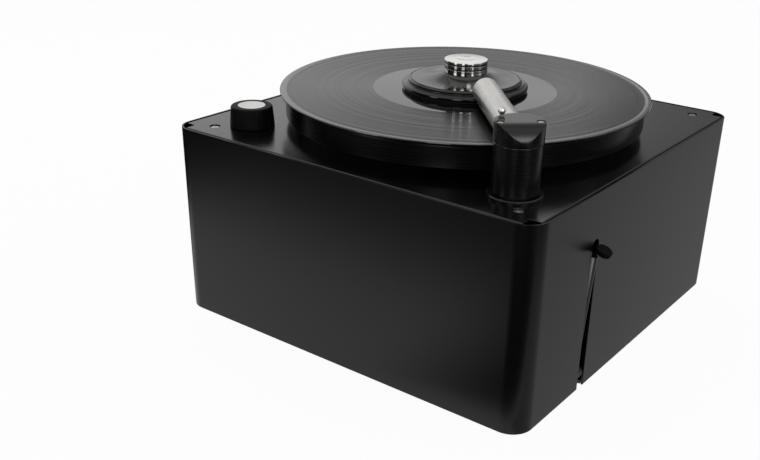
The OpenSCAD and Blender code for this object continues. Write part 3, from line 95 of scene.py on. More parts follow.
camera_data = bpy.data.cameras.new("camera")
camera_data.sensor_width = SENSOR_MM
camera_data.lens = FOCAL_POINTS * SENSOR_MM / PICTURE_W
camera_data.shift_x = (PICTURE_W / 2 - CENTRE_X) / PICTURE_W
camera_data.shift_y = (CENTRE_Y - PICTURE_H / 2) / PICTURE_W
camera_data.clip_start = 0.01
camera = put_in_scene("camera", camera_data)
turn = Matrix((right, up, -forward)).transposed().to_4x4()
camera.matrix_world = Matrix.Translation(camera_spot) @ turn
bpy.context.scene.camera = camera
bpy.context.scene.view_settings.view_transform = "Standard"
print("lens in mm:", round(camera_data.lens, 2))

# %% [markdown]
# ## Node helpers
# A material is a small net of nodes. These helpers keep the net readable: they add a node and set
# its inputs by name, do a sum, rescale a number, mix two shaders, or make and place a node
# group. The nets could be laid by hand in the editor, but code can be read and repeated.

# %% Helpers for nodes
def fill(tree, node, values):
    """Sets inputs by name or number: a socket is linked, a plain value is typed in."""
    for key, value in values.items():
        if isinstance(value, bpy.types.NodeSocket):
            tree.links.new(value, node.inputs[key])
        else:
            node.inputs[key].default_value = value


def add(tree, kind, values=None, **settings):
    node = tree.nodes.new(kind)
    for key, value in settings.items():
        setattr(node, key, value)
    fill(tree, node, values or {})
    return node


def maths(tree, operation, first, second=0.0, third=0.0):
    values = {0: first, 1: second, 2: third}
    return add(tree, "ShaderNodeMath", values, operation=operation).outputs[0]


def ramp(tree, value, low, high, to_low=0.0, to_high=1.0, shape="LINEAR"):
    """Rescales a number from one range to another and stops at the ends."""
    return add(tree, "ShaderNodeMapRange", {
        "Value": value, "From Min": low, "From Max": high, "To Min": to_low, "To Max": to_high,
    }, interpolation_type=shape).outputs[0]


def grey(tree, value):
    values = {"Red": value, "Green": value, "Blue": value}
    return add(tree, "ShaderNodeCombineColor", values).outputs[0]


def scaled(tree, colour, share):
    """A fixed colour, made lighter or darker by a number."""
    values = {0: colour, "Scale": share}
    return add(tree, "ShaderNodeVectorMath", values, operation="SCALE").outputs[0]


def new_paint(name, blank=False):
    """A material and its net; a blank one starts without the Principled surface."""
    paint = bpy.data.materials.new(name)
    paint.use_nodes = True
    if blank:
        paint.node_tree.nodes.clear()
    return paint, paint.node_tree


def seen_directly(tree):
    """1 for what the camera, a mirror or a clear part sees, 0 for what only gives light."""
    path = add(tree, "ShaderNodeLightPath")
    seen = maths(tree, "MAXIMUM", path.outputs["Is Camera Ray"], path.outputs["Is Glossy Ray"])
    return maths(tree, "MAXIMUM", seen, path.outputs["Is Transmission Ray"])


def send_out(tree, share, first, second, output="ShaderNodeOutputMaterial"):
    """Mixes two shaders and sends the mix to the output."""
    values = {0: share, 1: first.outputs[0], 2: second.outputs[0]}
    mixed = add(tree, "ShaderNodeMixShader", values)
    add(tree, output, {"Surface": mixed.outputs[0]})


def new_group(name, inputs, outputs):
    group = bpy.data.node_groups.new(name, "ShaderNodeTree")
    for label, kind, value in inputs:
        socket = group.interface.new_socket(label, in_out="INPUT", socket_type=kind)
        socket.default_value = value
    for label in outputs:
        group.interface.new_socket(label, in_out="OUTPUT", socket_type="NodeSocketFloat")
    return group, group.nodes.new("NodeGroupInput"), group.nodes.new("NodeGroupOutput")


def use_group(tree, group, values):
    return add(tree, "ShaderNodeGroup", values, node_tree=group)


# %% [markdown]
# ## Floor
# The machine stands on a pale sheet. Lit by lamps alone, its far end would turn grey and draw a
# line across the picture. So the camera and mirror-like surfaces see it glow almost white, and
# only a small share of what they see is lit, which is enough for a faint shadow.

# %% Floor
FLOOR_REACH = 6.0
FLOOR_GLOW = 0.96
WHITE = (1, 1, 1, 1)


def lying(x0, x1, y0, y1, z):
    """Corners of a level sheet."""
    return [(x0, y0, z), (x1, y0, z), (x1, y1, z), (x0, y1, z)]


def four_corners(name, corners, paint):
    """A sheet of one face."""
    mesh = bpy.data.meshes.new(name)
    mesh.from_pydata(corners, [], [(0, 1, 2, 3)])
    mesh.materials.append(paint)
    return put_in_scene(name, mesh)


def floor_paint():
    paint, tree = new_paint("pale floor", blank=True)
    grain = add(tree, "ShaderNodeTexNoise", {"Scale": 3.0, "Detail": 3.0})
    colour = grey(tree, ramp(tree, grain.outputs["Fac"], 0.0, 1.0, 0.90, 0.93))
    lit = add(tree, "ShaderNodeBsdfDiffuse", {"Color": colour})
    glow = add(tree, "ShaderNodeEmission", {"Color": WHITE, "Strength": 1.0})
    share = maths(tree, "MULTIPLY", seen_directly(tree), FLOOR_GLOW)
    send_out(tree, share, lit, glow)
    return paint


level = cad_low.z - 0.0002
floor_corners = lying(-FLOOR_REACH, FLOOR_REACH, -FLOOR_REACH, FLOOR_REACH, level)
floor = four_corners("floor", floor_corners, floor_paint())
print("floor level in mm:", round(level / MM, 2))

# %% [markdown]
# ## World
# The camera and mirror-like surfaces see a white world, all other rays a dim one, which softens
# the shadows and leaves black parts black. A curved backdrop would do for one view only.

# %% World
SOFT_LIGHT = 0.45
world = bpy.data.worlds.new("studio")
bpy.context.scene.world = world
world.use_nodes = True
sky = world.node_tree
sky.nodes.clear()
white = add(sky, "ShaderNodeBackground", {"Color": WHITE, "Strength": 1.0})
dim = add(sky, "ShaderNodeBackground", {"Color": WHITE, "Strength": SOFT_LIGHT})
send_out(sky, seen_directly(sky), dim, white, "ShaderNodeOutputWorld")
print("soft light of the world:", SOFT_LIGHT)


# %% [markdown]
# ## Lamps
# Two large soft lamps light what is matt: one over the left, one at the right. Black gloss would
# show them as hard squares, so reflections do not see them. A sun lamp would be simpler, but its
# shadows are too sharp for this picture.

# %% Lamps
def soft_box(name, place, aim, width, height, power):
    lamp = bpy.data.lights.new(name, "AREA")
    lamp.shape = "RECTANGLE"
    lamp.size = width
    lamp.size_y = height
    lamp.energy = power
    box = put_in_scene(name, lamp)
    away = (Vector(place) - Vector(aim)).normalized()
    box.rotation_mode = "QUATERNION"
    box.rotation_quaternion = away.to_track_quat("Z", "Y")
    box.location = place
    box.visible_glossy = False
    print("lamp", name, "of", power, "W")


soft_box("over_left", (-0.9, 0.2, 1.5), (0, 0, 0.1), 1.2, 1.2, 8.0)
soft_box("right_side", (1.4, 0.3, 0.9), (0.1, 0, 0.1), 0.8, 1.0, 4.0)

# %% [markdown]
# ## Cards round the machine
# Black gloss shows what stands round it more than the light that falls on it. In the picture the
# front right corner and the tower are nearly black and the left of the plate is pale, so dark and
# grey cards stand in front, at the sides and behind. Three bright upright strips make the bars on
# the steel knob and the streaks on the record, and a light box lights the tip of the arm's cap.
# Only reflections see the cards, and their edges fade. One painted surround could replace them,
# but single cards are easier to move.

# %% Card maker
X, Y, Z = 0, 1, 2


def make_card(name, corners, tone, fades):
    """fades are (axis, clear at, full at), in metres."""
    paint, tree = new_paint(name, blank=True)
    place = add(tree, "ShaderNodeTexCoord").outputs["Object"]
    parts = add(tree, "ShaderNodeSeparateXYZ", {0: place}).outputs
    cover = None
    for axis, clear_at, full_at in fades:
        low, high = min(clear_at, full_at), max(clear_at, full_at)
        ends = (0.0, 1.0) if full_at > clear_at else (1.0, 0.0)
        edge = ramp(tree, parts[axis], low, high, *ends, shape="SMOOTHSTEP")
        cover = maths(tree, "MINIMUM", cover, edge) if cover else edge
    glow = add(tree, "ShaderNodeEmission", {"Color": (tone, tone, tone, 1), "Strength": 1.0})
    clear = add(tree, "ShaderNodeBsdfTransparent")
    send_out(tree, cover, clear, glow)
    card = four_corners(name, corners, paint)
    for rays in ("camera", "diffuse", "transmission", "shadow"):
        setattr(card, "visible_" + rays, False)


def standing(x0, y0, x1, y1, z0, z1):
    """Corners of an upright sheet."""
    return [(x0, y0, z0), (x1, y1, z0), (x1, y1, z1), (x0, y0, z1)]


def upright_strip(degrees, half_width=7.0, distance=1.4, top=1.0):
    """A narrow upright sheet; its direction and half width are angles seen from the middle."""
    first, second = math.radians(degrees - half_width), math.radians(degrees + half_width)
    return standing(
        distance * math.cos(first), distance * math.sin(first),
        distance * math.cos(second), distance * math.sin(second), 0.0, top,
    )


# %% Cards
DARK = 0.02
STRIP_TONE = 3.0
card_z = cad_low.z + 0.0004
upper_z = card_z + 0.0002
top_fade = (Z, 1.3, 1.0)
back_fade = (X, -0.95, -0.65)
cards = [
    ("dark_front_floor", lying(-5, 5, -5, -0.18, card_z), DARK, [(Y, -0.28, -0.48)]),
    ("dark_right_floor", lying(0.0, 5, -5, -0.18, upper_z), DARK,
     [(X, 0.0, 0.14), (Y, -0.18, -0.21)]),
    ("grey_side_floor", lying(0.165, 5, -0.18, 2.0, card_z), 0.47, [(X, 0.165, 0.170)]),
    ("dark_far_right", lying(0.35, 5, -0.18, 2.0, upper_z), DARK, [(X, 0.42, 0.60)]),
    ("dark_left_floor", lying(-5, -0.165, -0.16, 3.0, card_z), 0.03,
     [(X, -0.168, -0.185), (Y, -0.16, -0.13)]),
    ("dark_far_left", lying(-5, -0.3, -0.5, 3.0, upper_z), DARK, [(X, -0.32, -0.48)]),
    ("dark_behind_camera", standing(-0.1, -2.1, 2.2, -0.5, 0.0, 1.3), DARK, [top_fade]),
    ("dark_behind_left", standing(-2.4, -0.6, -0.1, -2.1, 0.0, 1.3), DARK, [top_fade]),
    ("dark_right", standing(2.2, -0.5, 2.2, 0.9, 0.0, 1.3), 0.25, [top_fade, (Y, 0.9, 0.4)]),
]
for number, degrees in enumerate((-112.0, -70.0, -22.0)):
    name = "bright_strip_%d" % number
    cards.append((name, upright_strip(degrees), STRIP_TONE, [(Z, 1.0, 0.7)]))
cards += [
    ("grey_back_right", standing(-1.1, 2.0, 3.0, 2.0, 0.0, 2.4), 0.34,
     [back_fade, (Z, 2.4, 1.6)]),
    ("dark_back_low", standing(-1.1, 1.98, 3.0, 1.98, 0.0, 0.76), 0.14,
     [back_fade, (Z, 0.76, 0.60)]),
    ("grey_back_low", standing(-4.0, 1.9, -0.3, 1.9, 0.0, 0.8), 0.54,
     [(X, -0.3, -0.9), (Z, 0.78, 0.50)]),
    ("grey_ceiling", lying(-2.2, 0.6, 0.15, 2.1, 1.6), 0.50, [(X, -2.2, -1.7), (Y, 0.15, 0.45)]),
    ("light_box", standing(1.06, -1.06, 1.34, -0.64, 0.80, 1.40), 7.0,
     [(Z, 0.80, 0.90), (Z, 1.40, 1.25)]),
]
for card in cards:
    make_card(*card)
print(len(cards), "cards:", [card[0] for card in cards])

# %% [markdown]
# ## Outlines
# Most of this machine is turned or folded, so every shape starts as an outline in millimetres.
# Real corners are never quite sharp: small radii catch the light. A bevel modifier could add them
# later, but here each corner has a radius of its own.

# %% Arcs and rounded corners
def arc(x, y, radius, start, sweep, steps):
    """Points on part of a circle; the angles are in radians."""
    angles = [start + sweep * k / steps for k in range(steps + 1)]
    return [(x + radius * math.cos(a), y + radius * math.sin(a)) for a in angles]


def circle_loop(x, y, radius, steps=40):
    return arc(x, y, radius, 0.0, 2 * math.pi, steps)[:-1]


def rounded(corners, steps=4):
    """corners are (x, y, radius); each corner is replaced by an arc."""
    points = []
    count = len(corners)
    for index, (x, y, radius) in enumerate(corners):
        if radius <= 0:
            points.append((x, y))
            continue
        corner = Vector((x, y))
        back = (Vector(corners[index - 1][:2]) - corner).normalized()
        ahead = (Vector(corners[(index + 1) % count][:2]) - corner).normalized()
        half = math.acos(max(-1.0, min(1.0, back.dot(ahead)))) / 2
        centre = corner + (back + ahead).normalized() * (radius / math.sin(half))
        start = corner + back * (radius / math.tan(half)) - centre
        end = corner + ahead * (radius / math.tan(half)) - centre
        first = math.atan2(start.y, start.x)
        sweep = math.atan2(end.y, end.x) - first
        sweep = (sweep + math.pi) % (2 * math.pi) - math.pi
        points += arc(centre.x, centre.y, radius, first, sweep, steps)
    return points


print("points on a circle:", len(circle_loop(0, 0, 1)))


# %% [markdown]
# ## Turned pieces
# A turned part is a half outline swept round an upright axis. The screw modifier does that, too,
# but mesh code gives every face a known place, so that one part can show two finishes. Weighted
# normals and kept sharp edges let broad flats stay flat.

# %% From mesh code to a finished piece
def even_shading(piece):
    even = piece.modifiers.new("even shading", "WEIGHTED_NORMAL")
    even.keep_sharp = True


def to_piece(name, bm, sharp=32):
    bmesh.ops.remove_doubles(bm, verts=bm.verts, dist=1e-7)
    bmesh.ops.recalc_face_normals(bm, faces=bm.faces)
    mesh = bpy.data.meshes.new(name)
    bm.to_mesh(mesh)
    bm.free()
    mesh.shade_smooth()
    mesh.set_sharp_from_angle(angle=math.radians(sharp))
    piece = put_in_scene(name, mesh)
    even_shading(piece)
    return piece


def turned(bm, outline, at=(0.0, 0.0), steps=160):
    """Sweeps an outline of (radius, height) in mm round an upright axis."""
    rings = []
    for radius, height in outline:
        spots = [at] if radius < 1e-6 else circle_loop(*at, radius, steps)
        rings.append([bm.verts.new((x * MM, y * MM, height * MM)) for x, y in spots])
    pairs = list(zip(rings, rings[1:]))
    if len(rings[0]) > 1 or len(rings[-1]) > 1:
        pairs.append((rings[-1], rings[0]))
    for low, high in pairs:
        for k in range(steps):
            after = (k + 1) % steps
            first = [low[k], low[after]] if len(low) > 1 else [low[0]]
            second = [high[after], high[k]] if len(high) > 1 else [high[0]]
            if len(first) + len(second) > 2:
                bm.faces.new(first + second)


def turned_piece(name, outline, at=(0.0, 0.0), steps=160, sharp=32):
    bm = bmesh.new()
    turned(bm, outline, at, steps)
    return to_piece(name, bm, sharp)


# %% [markdown]
# ## Sheet pieces
# A folded part is a flat outline, cut across where it bends and then bent. A filled curve turns
# outlines with holes into a sheet with thickness and rounded edges in one go, which is cleaner
# than cutting holes with booleans.

# %% Flat sheet with rounded edges
def flat_sheet(loops, thickness, edge):
    """A flat plate from z = 0 down, from closed loops in mm; the first loop is the outside."""
    curve = bpy.data.curves.new("outline", "CURVE")
    curve.dimensions = "2D"
    curve.fill_mode = "BOTH"
    curve.extrude = (thickness / 2 - edge) * MM
    curve.bevel_depth = edge * MM
    curve.bevel_resolution = 1
    curve.offset = -edge * MM
    for index, loop in enumerate(loops):
        area = sum(a[0] * b[1] - b[0] * a[1] for a, b in zip(loop, loop[1:] + loop[:1]))
        wanted = area > 0 if index == 0 else area < 0
        ordered = loop if wanted else loop[::-1]
        spline = curve.splines.new("POLY")
        spline.points.add(len(ordered) - 1)
        spline.use_cyclic_u = True
        for point, (x, y) in zip(spline.points, ordered):
            point.co = (x * MM, y * MM, 0.0, 1.0)
    holder = put_in_scene("outline", curve)
    graph = bpy.context.evaluated_depsgraph_get()
    mesh = bpy.data.meshes.new_from_object(holder.evaluated_get(graph), depsgraph=graph)
    bm = bmesh.new()
    bm.from_mesh(mesh)
    bpy.data.objects.remove(holder)
    bpy.data.curves.remove(curve)
    bpy.data.meshes.remove(mesh)
    bmesh.ops.remove_doubles(bm, verts=bm.verts, dist=1e-6)
    for vert in bm.verts:
        vert.co.z -= thickness / 2 * MM
    return bm


def cut_across(bm, axis, places):
    """Adds rows of points across a sheet, so that it can bend there."""
    normal = Vector([float(axis == k) for k in range(3)])
    for place in places:
        everything = bm.verts[:] + bm.edges[:] + bm.faces[:]
        spot = normal * (place * MM)
        bmesh.ops.bisect_plane(bm, geom=everything, plane_co=spot, plane_no=normal, dist=1e-7)


# %% [markdown]
# ## Two ways to dress a part
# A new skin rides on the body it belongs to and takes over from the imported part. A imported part
# whose shape is good keeps its mesh: a weld joins its points and a bevel modifier breaks its
# edges, because an edge without any radius never looks real.

# %% Putting a piece in place
BEVEL_STEPS = 2
BEVEL_FROM = math.radians(35)


def fit_piece(piece, body, slot, replaced, *paints):
    for paint in paints:
        piece.data.materials.append(paint)
    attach(piece, body)
    if replaced:
        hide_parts(*replaced)
    spans = list(zip(*(vert.co / MM for vert in piece.data.vertices)))
    low, high = ([round(pick(span), 1) for span in spans] for pick in (min, max))
    print(piece.name, "from", low, "to", high, "mm")


def crisp(name, radius, paint):
    """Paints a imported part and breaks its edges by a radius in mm; 0 leaves them alone."""
    part = nodes[name]
    part.data.materials.clear()
    part.data.materials.append(paint)
    if radius:
        weld = part.modifiers.new("weld", "WELD")
        weld.merge_threshold = 2e-6
        bevel = part.modifiers.new("broken edges", "BEVEL")
        bevel.width = radius * MM
        bevel.segments = BEVEL_STEPS
        bevel.limit_method = "ANGLE"
        bevel.angle_limit = BEVEL_FROM
        bevel.use_clamp_overlap = True
        bevel.harden_normals = False
        even_shading(part)
    print(name, "in", paint.name, "with an edge of", radius, "mm")


# %% [markdown]
# ## Effects shared by several finishes
# Grain, long drawn lines and turning rings turn up on many parts, so each is a node group, built
# once and placed with its own scale. Image textures could do this as well, but noise has no seams
# and stays sharp at any distance.

# %% Grain group
grain_group, inner, outer = new_group(
    "fine grain", [("Scale", "NodeSocketFloat", 900.0)], ["Grain", "Patches"],
)
place = add(grain_group, "ShaderNodeTexCoord").outputs["Object"]
fine = add(grain_group, "ShaderNodeTexNoise", {
    "Vector": place, "Scale": inner.outputs["Scale"], "Detail": 3.0, "Roughness": 0.6,
})
broad = add(grain_group, "ShaderNodeTexNoise", {
    "Vector": place, "Scale": 14.0, "Detail": 4.0, "Roughness": 0.6,
})
fill(grain_group, outer, {"Grain": fine.outputs["Fac"], "Patches": broad.outputs["Fac"]})

# %% Brush line group
brush_group, inner, outer = new_group("brush lines", [
    ("Along", "NodeSocketVector", (0.02, 1.0, 1.0)), ("Fineness", "NodeSocketFloat", 2500.0),
    ("Turn", "NodeSocketFloat", 0.0),
], ["Lines"])
place = add(brush_group, "ShaderNodeTexCoord").outputs["Object"]
swung = add(brush_group, "ShaderNodeVectorRotate", {
    "Vector": place, "Angle": inner.outputs["Turn"],
}, rotation_type="Z_AXIS")
stretched = add(brush_group, "ShaderNodeVectorMath", {
    0: swung.outputs[0], 1: inner.outputs["Along"],
}, operation="MULTIPLY")
lines = add(brush_group, "ShaderNodeTexNoise", {
    "Vector": stretched.outputs[0], "Scale": inner.outputs["Fineness"],
    "Detail": 3.0, "Roughness": 0.65,
})
fill(brush_group, outer, {"Lines": lines.outputs["Fac"]})

# %% Turning ring group
ring_group, inner, outer = new_group("turning rings", [
    ("Centre", "NodeSocketVector", (0.0, 0.0, 0.0)),
    ("Rings per metre", "NodeSocketFloat", 2500.0), ("Height share", "NodeSocketFloat", 0.0),
], ["Rings"])
place = add(ring_group, "ShaderNodeTexCoord").outputs["Object"]
offset = add(ring_group, "ShaderNodeVectorMath", {
    0: place, 1: inner.outputs["Centre"],
}, operation="SUBTRACT")
parts = add(ring_group, "ShaderNodeSeparateXYZ", {0: offset.outputs[0]}).outputs
square_x = maths(ring_group, "MULTIPLY", parts["X"], parts["X"])
square_y = maths(ring_group, "MULTIPLY", parts["Y"], parts["Y"])
distance = maths(ring_group, "SQRT", maths(ring_group, "ADD", square_x, square_y))
lifted = maths(ring_group, "MULTIPLY", parts["Z"], inner.outputs["Height share"])
run = maths(ring_group, "ADD", distance, lifted)
count = maths(ring_group, "MULTIPLY", run, inner.outputs["Rings per metre"])
rings = add(ring_group, "ShaderNodeTexNoise", {
    "W": count, "Scale": 1.0, "Detail": 2.0,
}, noise_dimensions="1D")
fill(ring_group, outer, {"Rings": rings.outputs["Fac"]})
print("node groups:", [group.name for group in bpy.data.node_groups])

# %% [markdown]
# ## A general finish
# Coated steel, moulded plastic, rubber and bare metal differ in colour, gloss and grain, but are
# built alike: a colour that drifts a little, a roughness that follows the grain, and a fine bump.
# One function makes them all from a few numbers, which is easier to tune than thirty nets.

# %% The finish maker
NOISE_SPAN = (0.3, 0.7)


def finish(
    name, colour, roughness, metallic=0.0, specular=0.5, grain=900.0, bump=0.15, drift=0.12,
    rough_drift=0.15, brush=None, rings=None,
):
    """brush is (stretch, fineness, turn); rings is (centre, rings per metre, height share)."""
    paint, tree = new_paint(name)
    grains = use_group(tree, grain_group, {"Scale": grain})
    texture = grains.outputs["Grain"]
    if brush:
        values = dict(zip(("Along", "Fineness", "Turn"), brush))
        texture = use_group(tree, brush_group, values).outputs["Lines"]
    if rings:
        values = dict(zip(("Centre", "Rings per metre", "Height share"), rings))
        texture = use_group(tree, ring_group, values).outputs["Rings"]
    wander = ramp(tree, grains.outputs["Patches"], *NOISE_SPAN, 1.0 - drift, 1.0 + drift)
    smoothest, roughest = roughness * (1 - rough_drift), min(1.0, roughness * (1 + rough_drift))
    relief = add(tree, "ShaderNodeBump", {
        "Strength": bump, "Distance": 0.0002, "Height": texture,
    })
    fill(tree, tree.nodes["Principled BSDF"], {
        "Base Color": scaled(tree, colour, wander),
        "Roughness": ramp(tree, texture, *NOISE_SPAN, smoothest, roughest),
        "Normal": relief.outputs[0], "Metallic": metallic, "Specular IOR Level": specular,
    })
    return paint


def dress(names, radius, *look, **settings):
    """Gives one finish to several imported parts."""
    paint = finish(*look, **settings)
    for name in names:
        crisp(name, radius, paint)


# %% [markdown]
# ## Casing
# The real casing is one strip of steel, cut out flat, bent round four corners and welded at the
# back, then coated satin black. It could be a hollow box with holes cut by a boolean, but that
# leaves dead sharp edges. So it is made as the real one is: a flat strip with its slot, exhaust
# slits and switch openings, edges rounded, then cut across at the corners and bent.

# %% Casing strip
CASING = 334.0
CASING_H = 158.0
CORNER = 17.0
WALL = 1.5
SHEET_EDGE = 0.3
RUN_SLACK = 1e-3
SLOT_PAST_MIDDLE, SLOT_HALF, SLOT_TOP = 78.0, 4.5, 122.0
FAN_X, SLIT_STEP, SLIT_R, SLIT_LOW, SLIT_HIGH = 67.68, 11.0, 2.0, 38.0, 86.0
INLET_X, INLET_Z, ROCKER_Z = -95.0, 46.0, 76.0
corner_run = CORNER * math.pi / 2
flat_run = CASING - 2 * CORNER
strip_length = 4 * (flat_run + corner_run)


def round_strip(run, height, lift):
    """Maps a distance along the strip to a place on the bent casing, going right from mid back."""
    straight = flat_run / 2
    start = 0.0
    for side, (nx, ny) in enumerate([(0, 1), (1, 0), (0, -1), (-1, 0), (0, 1)]):
        length = straight if side in (0, 4) else flat_run
        tx, ty = ny, -nx
        if run <= start + length + RUN_SLACK or side == 4:
            along = run - start - (0 if side == 0 else straight)
            out = CASING / 2 + lift
            return (nx * out + tx * along, ny * out + ty * along, height)
        start += length
        if run <= start + corner_run + RUN_SLACK:
            angle = (run - start) / CORNER
            reach = CASING / 2 - CORNER
            ox = nx * math.cos(angle) + tx * math.sin(angle)
            oy = ny * math.cos(angle) + ty * math.sin(angle)
            radius = CORNER + lift
            return ((nx + tx) * reach + ox * radius, (ny + ty) * reach + oy * radius, height)
        start += corner_run


def casing_loops():
    """The strip's outline with the slot, then the slits and the inlet's openings."""
    slot_run = flat_run / 2 + corner_run + flat_run / 2 + SLOT_PAST_MIDDLE
    outline = [(0.0, 0.0), (slot_run - SLOT_HALF, 0.0)]
    outline += arc(slot_run, SLOT_TOP - SLOT_HALF, SLOT_HALF, math.pi, -math.pi, 16)
    outline += [(slot_run + SLOT_HALF, 0.0), (strip_length, 0.0)]
    outline += [(strip_length, CASING_H), (0.0, CASING_H)]
    loops = [outline]
    for k in range(-4, 5):
        x = FAN_X + k * SLIT_STEP
        upper = arc(x, SLIT_HIGH, SLIT_R, 0, math.pi, 8)
        loops.append(upper + arc(x, SLIT_LOW, SLIT_R, math.pi, math.pi, 8))
    run = strip_length + INLET_X
    for half_w, half_h, z in ((13.7, 10.2, INLET_Z), (9.7, 13.7, ROCKER_Z)):
        ends = ((-1, -1), (1, -1), (1, 1), (-1, 1))
        loops.append([(run + sx * half_w, z + sz * half_h) for sx, sz in ends])
    for side in (-20.0, 20.0):
        loops.append(circle_loop(run + side, INLET_Z, 1.7, 16))
    return loops


def make_casing():
    bm = flat_sheet(casing_loops(), WALL, SHEET_EDGE)
    start = flat_run / 2
    for corner in range(4):
        cut_across(bm, 0, [start + corner_run * k / 12 for k in range(13)])
        start += corner_run + flat_run
    for vert in bm.verts:
        run, height, lift = (c / MM for c in vert.co)
        vert.co = Vector(round_strip(run, height, lift)) * MM
    return to_piece("casing_strip", bm, 25)


casing_coat = finish(
    "satin black coat", (0.0020, 0.0020, 0.0022), 0.30, specular=0.28, grain=1700.0, bump=0.06,
    drift=0.10, rough_drift=0.10,
)
fit_piece(make_casing(), "machine", "case_black", ["casing"], casing_coat)
print("flat strip in mm:", round(strip_length, 1), "by", CASING_H)

# %% [markdown]
# ## Top plate
# The top is a plate of brushed and blackened metal that drops into the casing, with its four
# edges folded down and a small relief cut out at each corner. Four screws sit in pressed cups. A
# bevelled box would show neither the fold nor the reliefs, so the plate is drawn flat with its
# flaps and folded along each side.

# %% Top plate
PLATE_HALF = 164.2
BEND = 1.4
PLATE_T = 1.2
PLATE_TOP = 158.0
EDGE_H = 12.0
NOTCH = 9.5
TOWER = (125.0, -124.608)
KNOB = (-120.0, -125.0)
SCREWS = [(sx * 141.0, sy * 146.0) for sx in (-1, 1) for sy in (-1, 1)]
CUP_IN, CUP_OUT, CUP_LOW = 4.25, 5.25, 152.0


def fold(distance, lift):
    """How far out and how far down a point lands, past the line where the bend starts."""
    turned_angle = min(distance / BEND, math.pi / 2)
    out = (BEND + lift) * math.sin(turned_angle)
    down = BEND - (BEND + lift) * math.cos(turned_angle)
    past = distance - BEND * math.pi / 2
    if past > 0:
        down += past
    return out, down


def plate_loops(line):
    """The flat blank's outline, then its holes."""
    reach = line + BEND * math.pi / 2 + EDGE_H - BEND
    inner = PLATE_HALF - NOTCH
    corners = []
    for k in range(4):
        spin = k * math.pi / 2
        for x, y, radius in ((reach, inner, 1.0), (inner, inner, 1.5), (inner, reach, 1.0)):
            turned_x = x * math.cos(spin) - y * math.sin(spin)
            turned_y = x * math.sin(spin) + y * math.cos(spin)
            corners.append((turned_x, turned_y, radius))
    loops = [rounded(corners, 3), circle_loop(0, 0, 15.2), circle_loop(*TOWER, 10.6)]
    loops.append(circle_loop(*KNOB, 4.7, 24))
    loops += [circle_loop(x, y, CUP_IN, 32) for x, y in SCREWS]
    return loops


def make_top_plate():
    line = PLATE_HALF - BEND
    bm = flat_sheet(plate_loops(line), PLATE_T, SHEET_EDGE)
    for axis in (0, 1):
        for side in (-1, 1):
            cut_across(bm, axis, [side * (line + BEND * math.pi / 2 * k / 8) for k in range(9)])
    for vert in bm.verts:
        spot = [c / MM for c in vert.co]
        lift = spot[2]
        spot[2] = PLATE_TOP + lift
        for axis in (0, 1):
            past = abs(spot[axis]) - line
            if past > 0:
                out, down = fold(past, lift)
                spot[axis] = math.copysign(line + out, spot[axis])
                spot[2] = PLATE_TOP - down
                break
        vert.co = Vector(spot) * MM
    cup = rounded([
        (2.2, CUP_LOW, 0), (CUP_OUT, CUP_LOW, 0.3), (CUP_OUT, CUP_LOW + 5, 0),
        (CUP_IN, CUP_LOW + 5, 0), (CUP_IN, CUP_LOW + 1, 0.4), (2.2, CUP_LOW + 1, 0),
    ])
    for place in SCREWS:
        turned(bm, cup, place, 40)
    return to_piece("top_plate_folded", bm, 25)


plate_coat = finish(
    "brushed black plate", (0.0015, 0.0015, 0.0017), 0.20, specular=0.45, grain=1200.0, bump=0.10,
    drift=0.15, rough_drift=0.30, brush=((1.0, 0.03, 1.0), 1400.0, 0.0),
)
fit_piece(make_top_plate(), "machine", "plate_black", ["top_plate"], plate_coat)


# %% [markdown]
# ## Plate screws
# Small plated screws with low domed heads and a round socket. At this size a thread or a hex
# recess would not show, so each screw is one turned outline, used at four places.

# %% Plate screws
def screw_heads(name, places, radius, top, foot, shank_radius):
    """Low domed heads with a round socket, on their shanks."""
    rise, under, depth = 0.6, 2.0, 1.3
    socket = radius * 0.42
    angles = [math.pi / 2 * k / 6 for k in range(6)]
    low = top - under
    outline = [(0.0, foot), (shank_radius, foot), (shank_radius, low), (radius, low)]
    outline += [(radius * math.cos(a), top - rise + rise * math.sin(a)) for a in angles]
    outline += [(socket + 0.15, top), (socket, top - 0.15)]
    outline += [(socket, top - depth), (0.0, top - depth)]
    bm = bmesh.new()
    for place in places:
        turned(bm, outline, place, 40)
    return to_piece(name, bm, 30)


screw_steel = finish(
    "zinc plated screws", (0.80, 0.77, 0.68), 0.30, metallic=1.0, bump=0.05, drift=0.05,
)
plate_screws = screw_heads("plate_screw_heads", SCREWS, 3.9, 157.3, 146.0, 2.0)
fit_piece(plate_screws, "machine", "screw_steel", ["plate_screws"], screw_steel)

# %% [markdown]
# ## Platter and mat
# The platter is a heavy turned disc, painted black, and hollow underneath. A thin rubber mat lies
# on it. The dead sharp rims of primitive cylinders would not catch the light, so both are turned
# from rounded outlines.

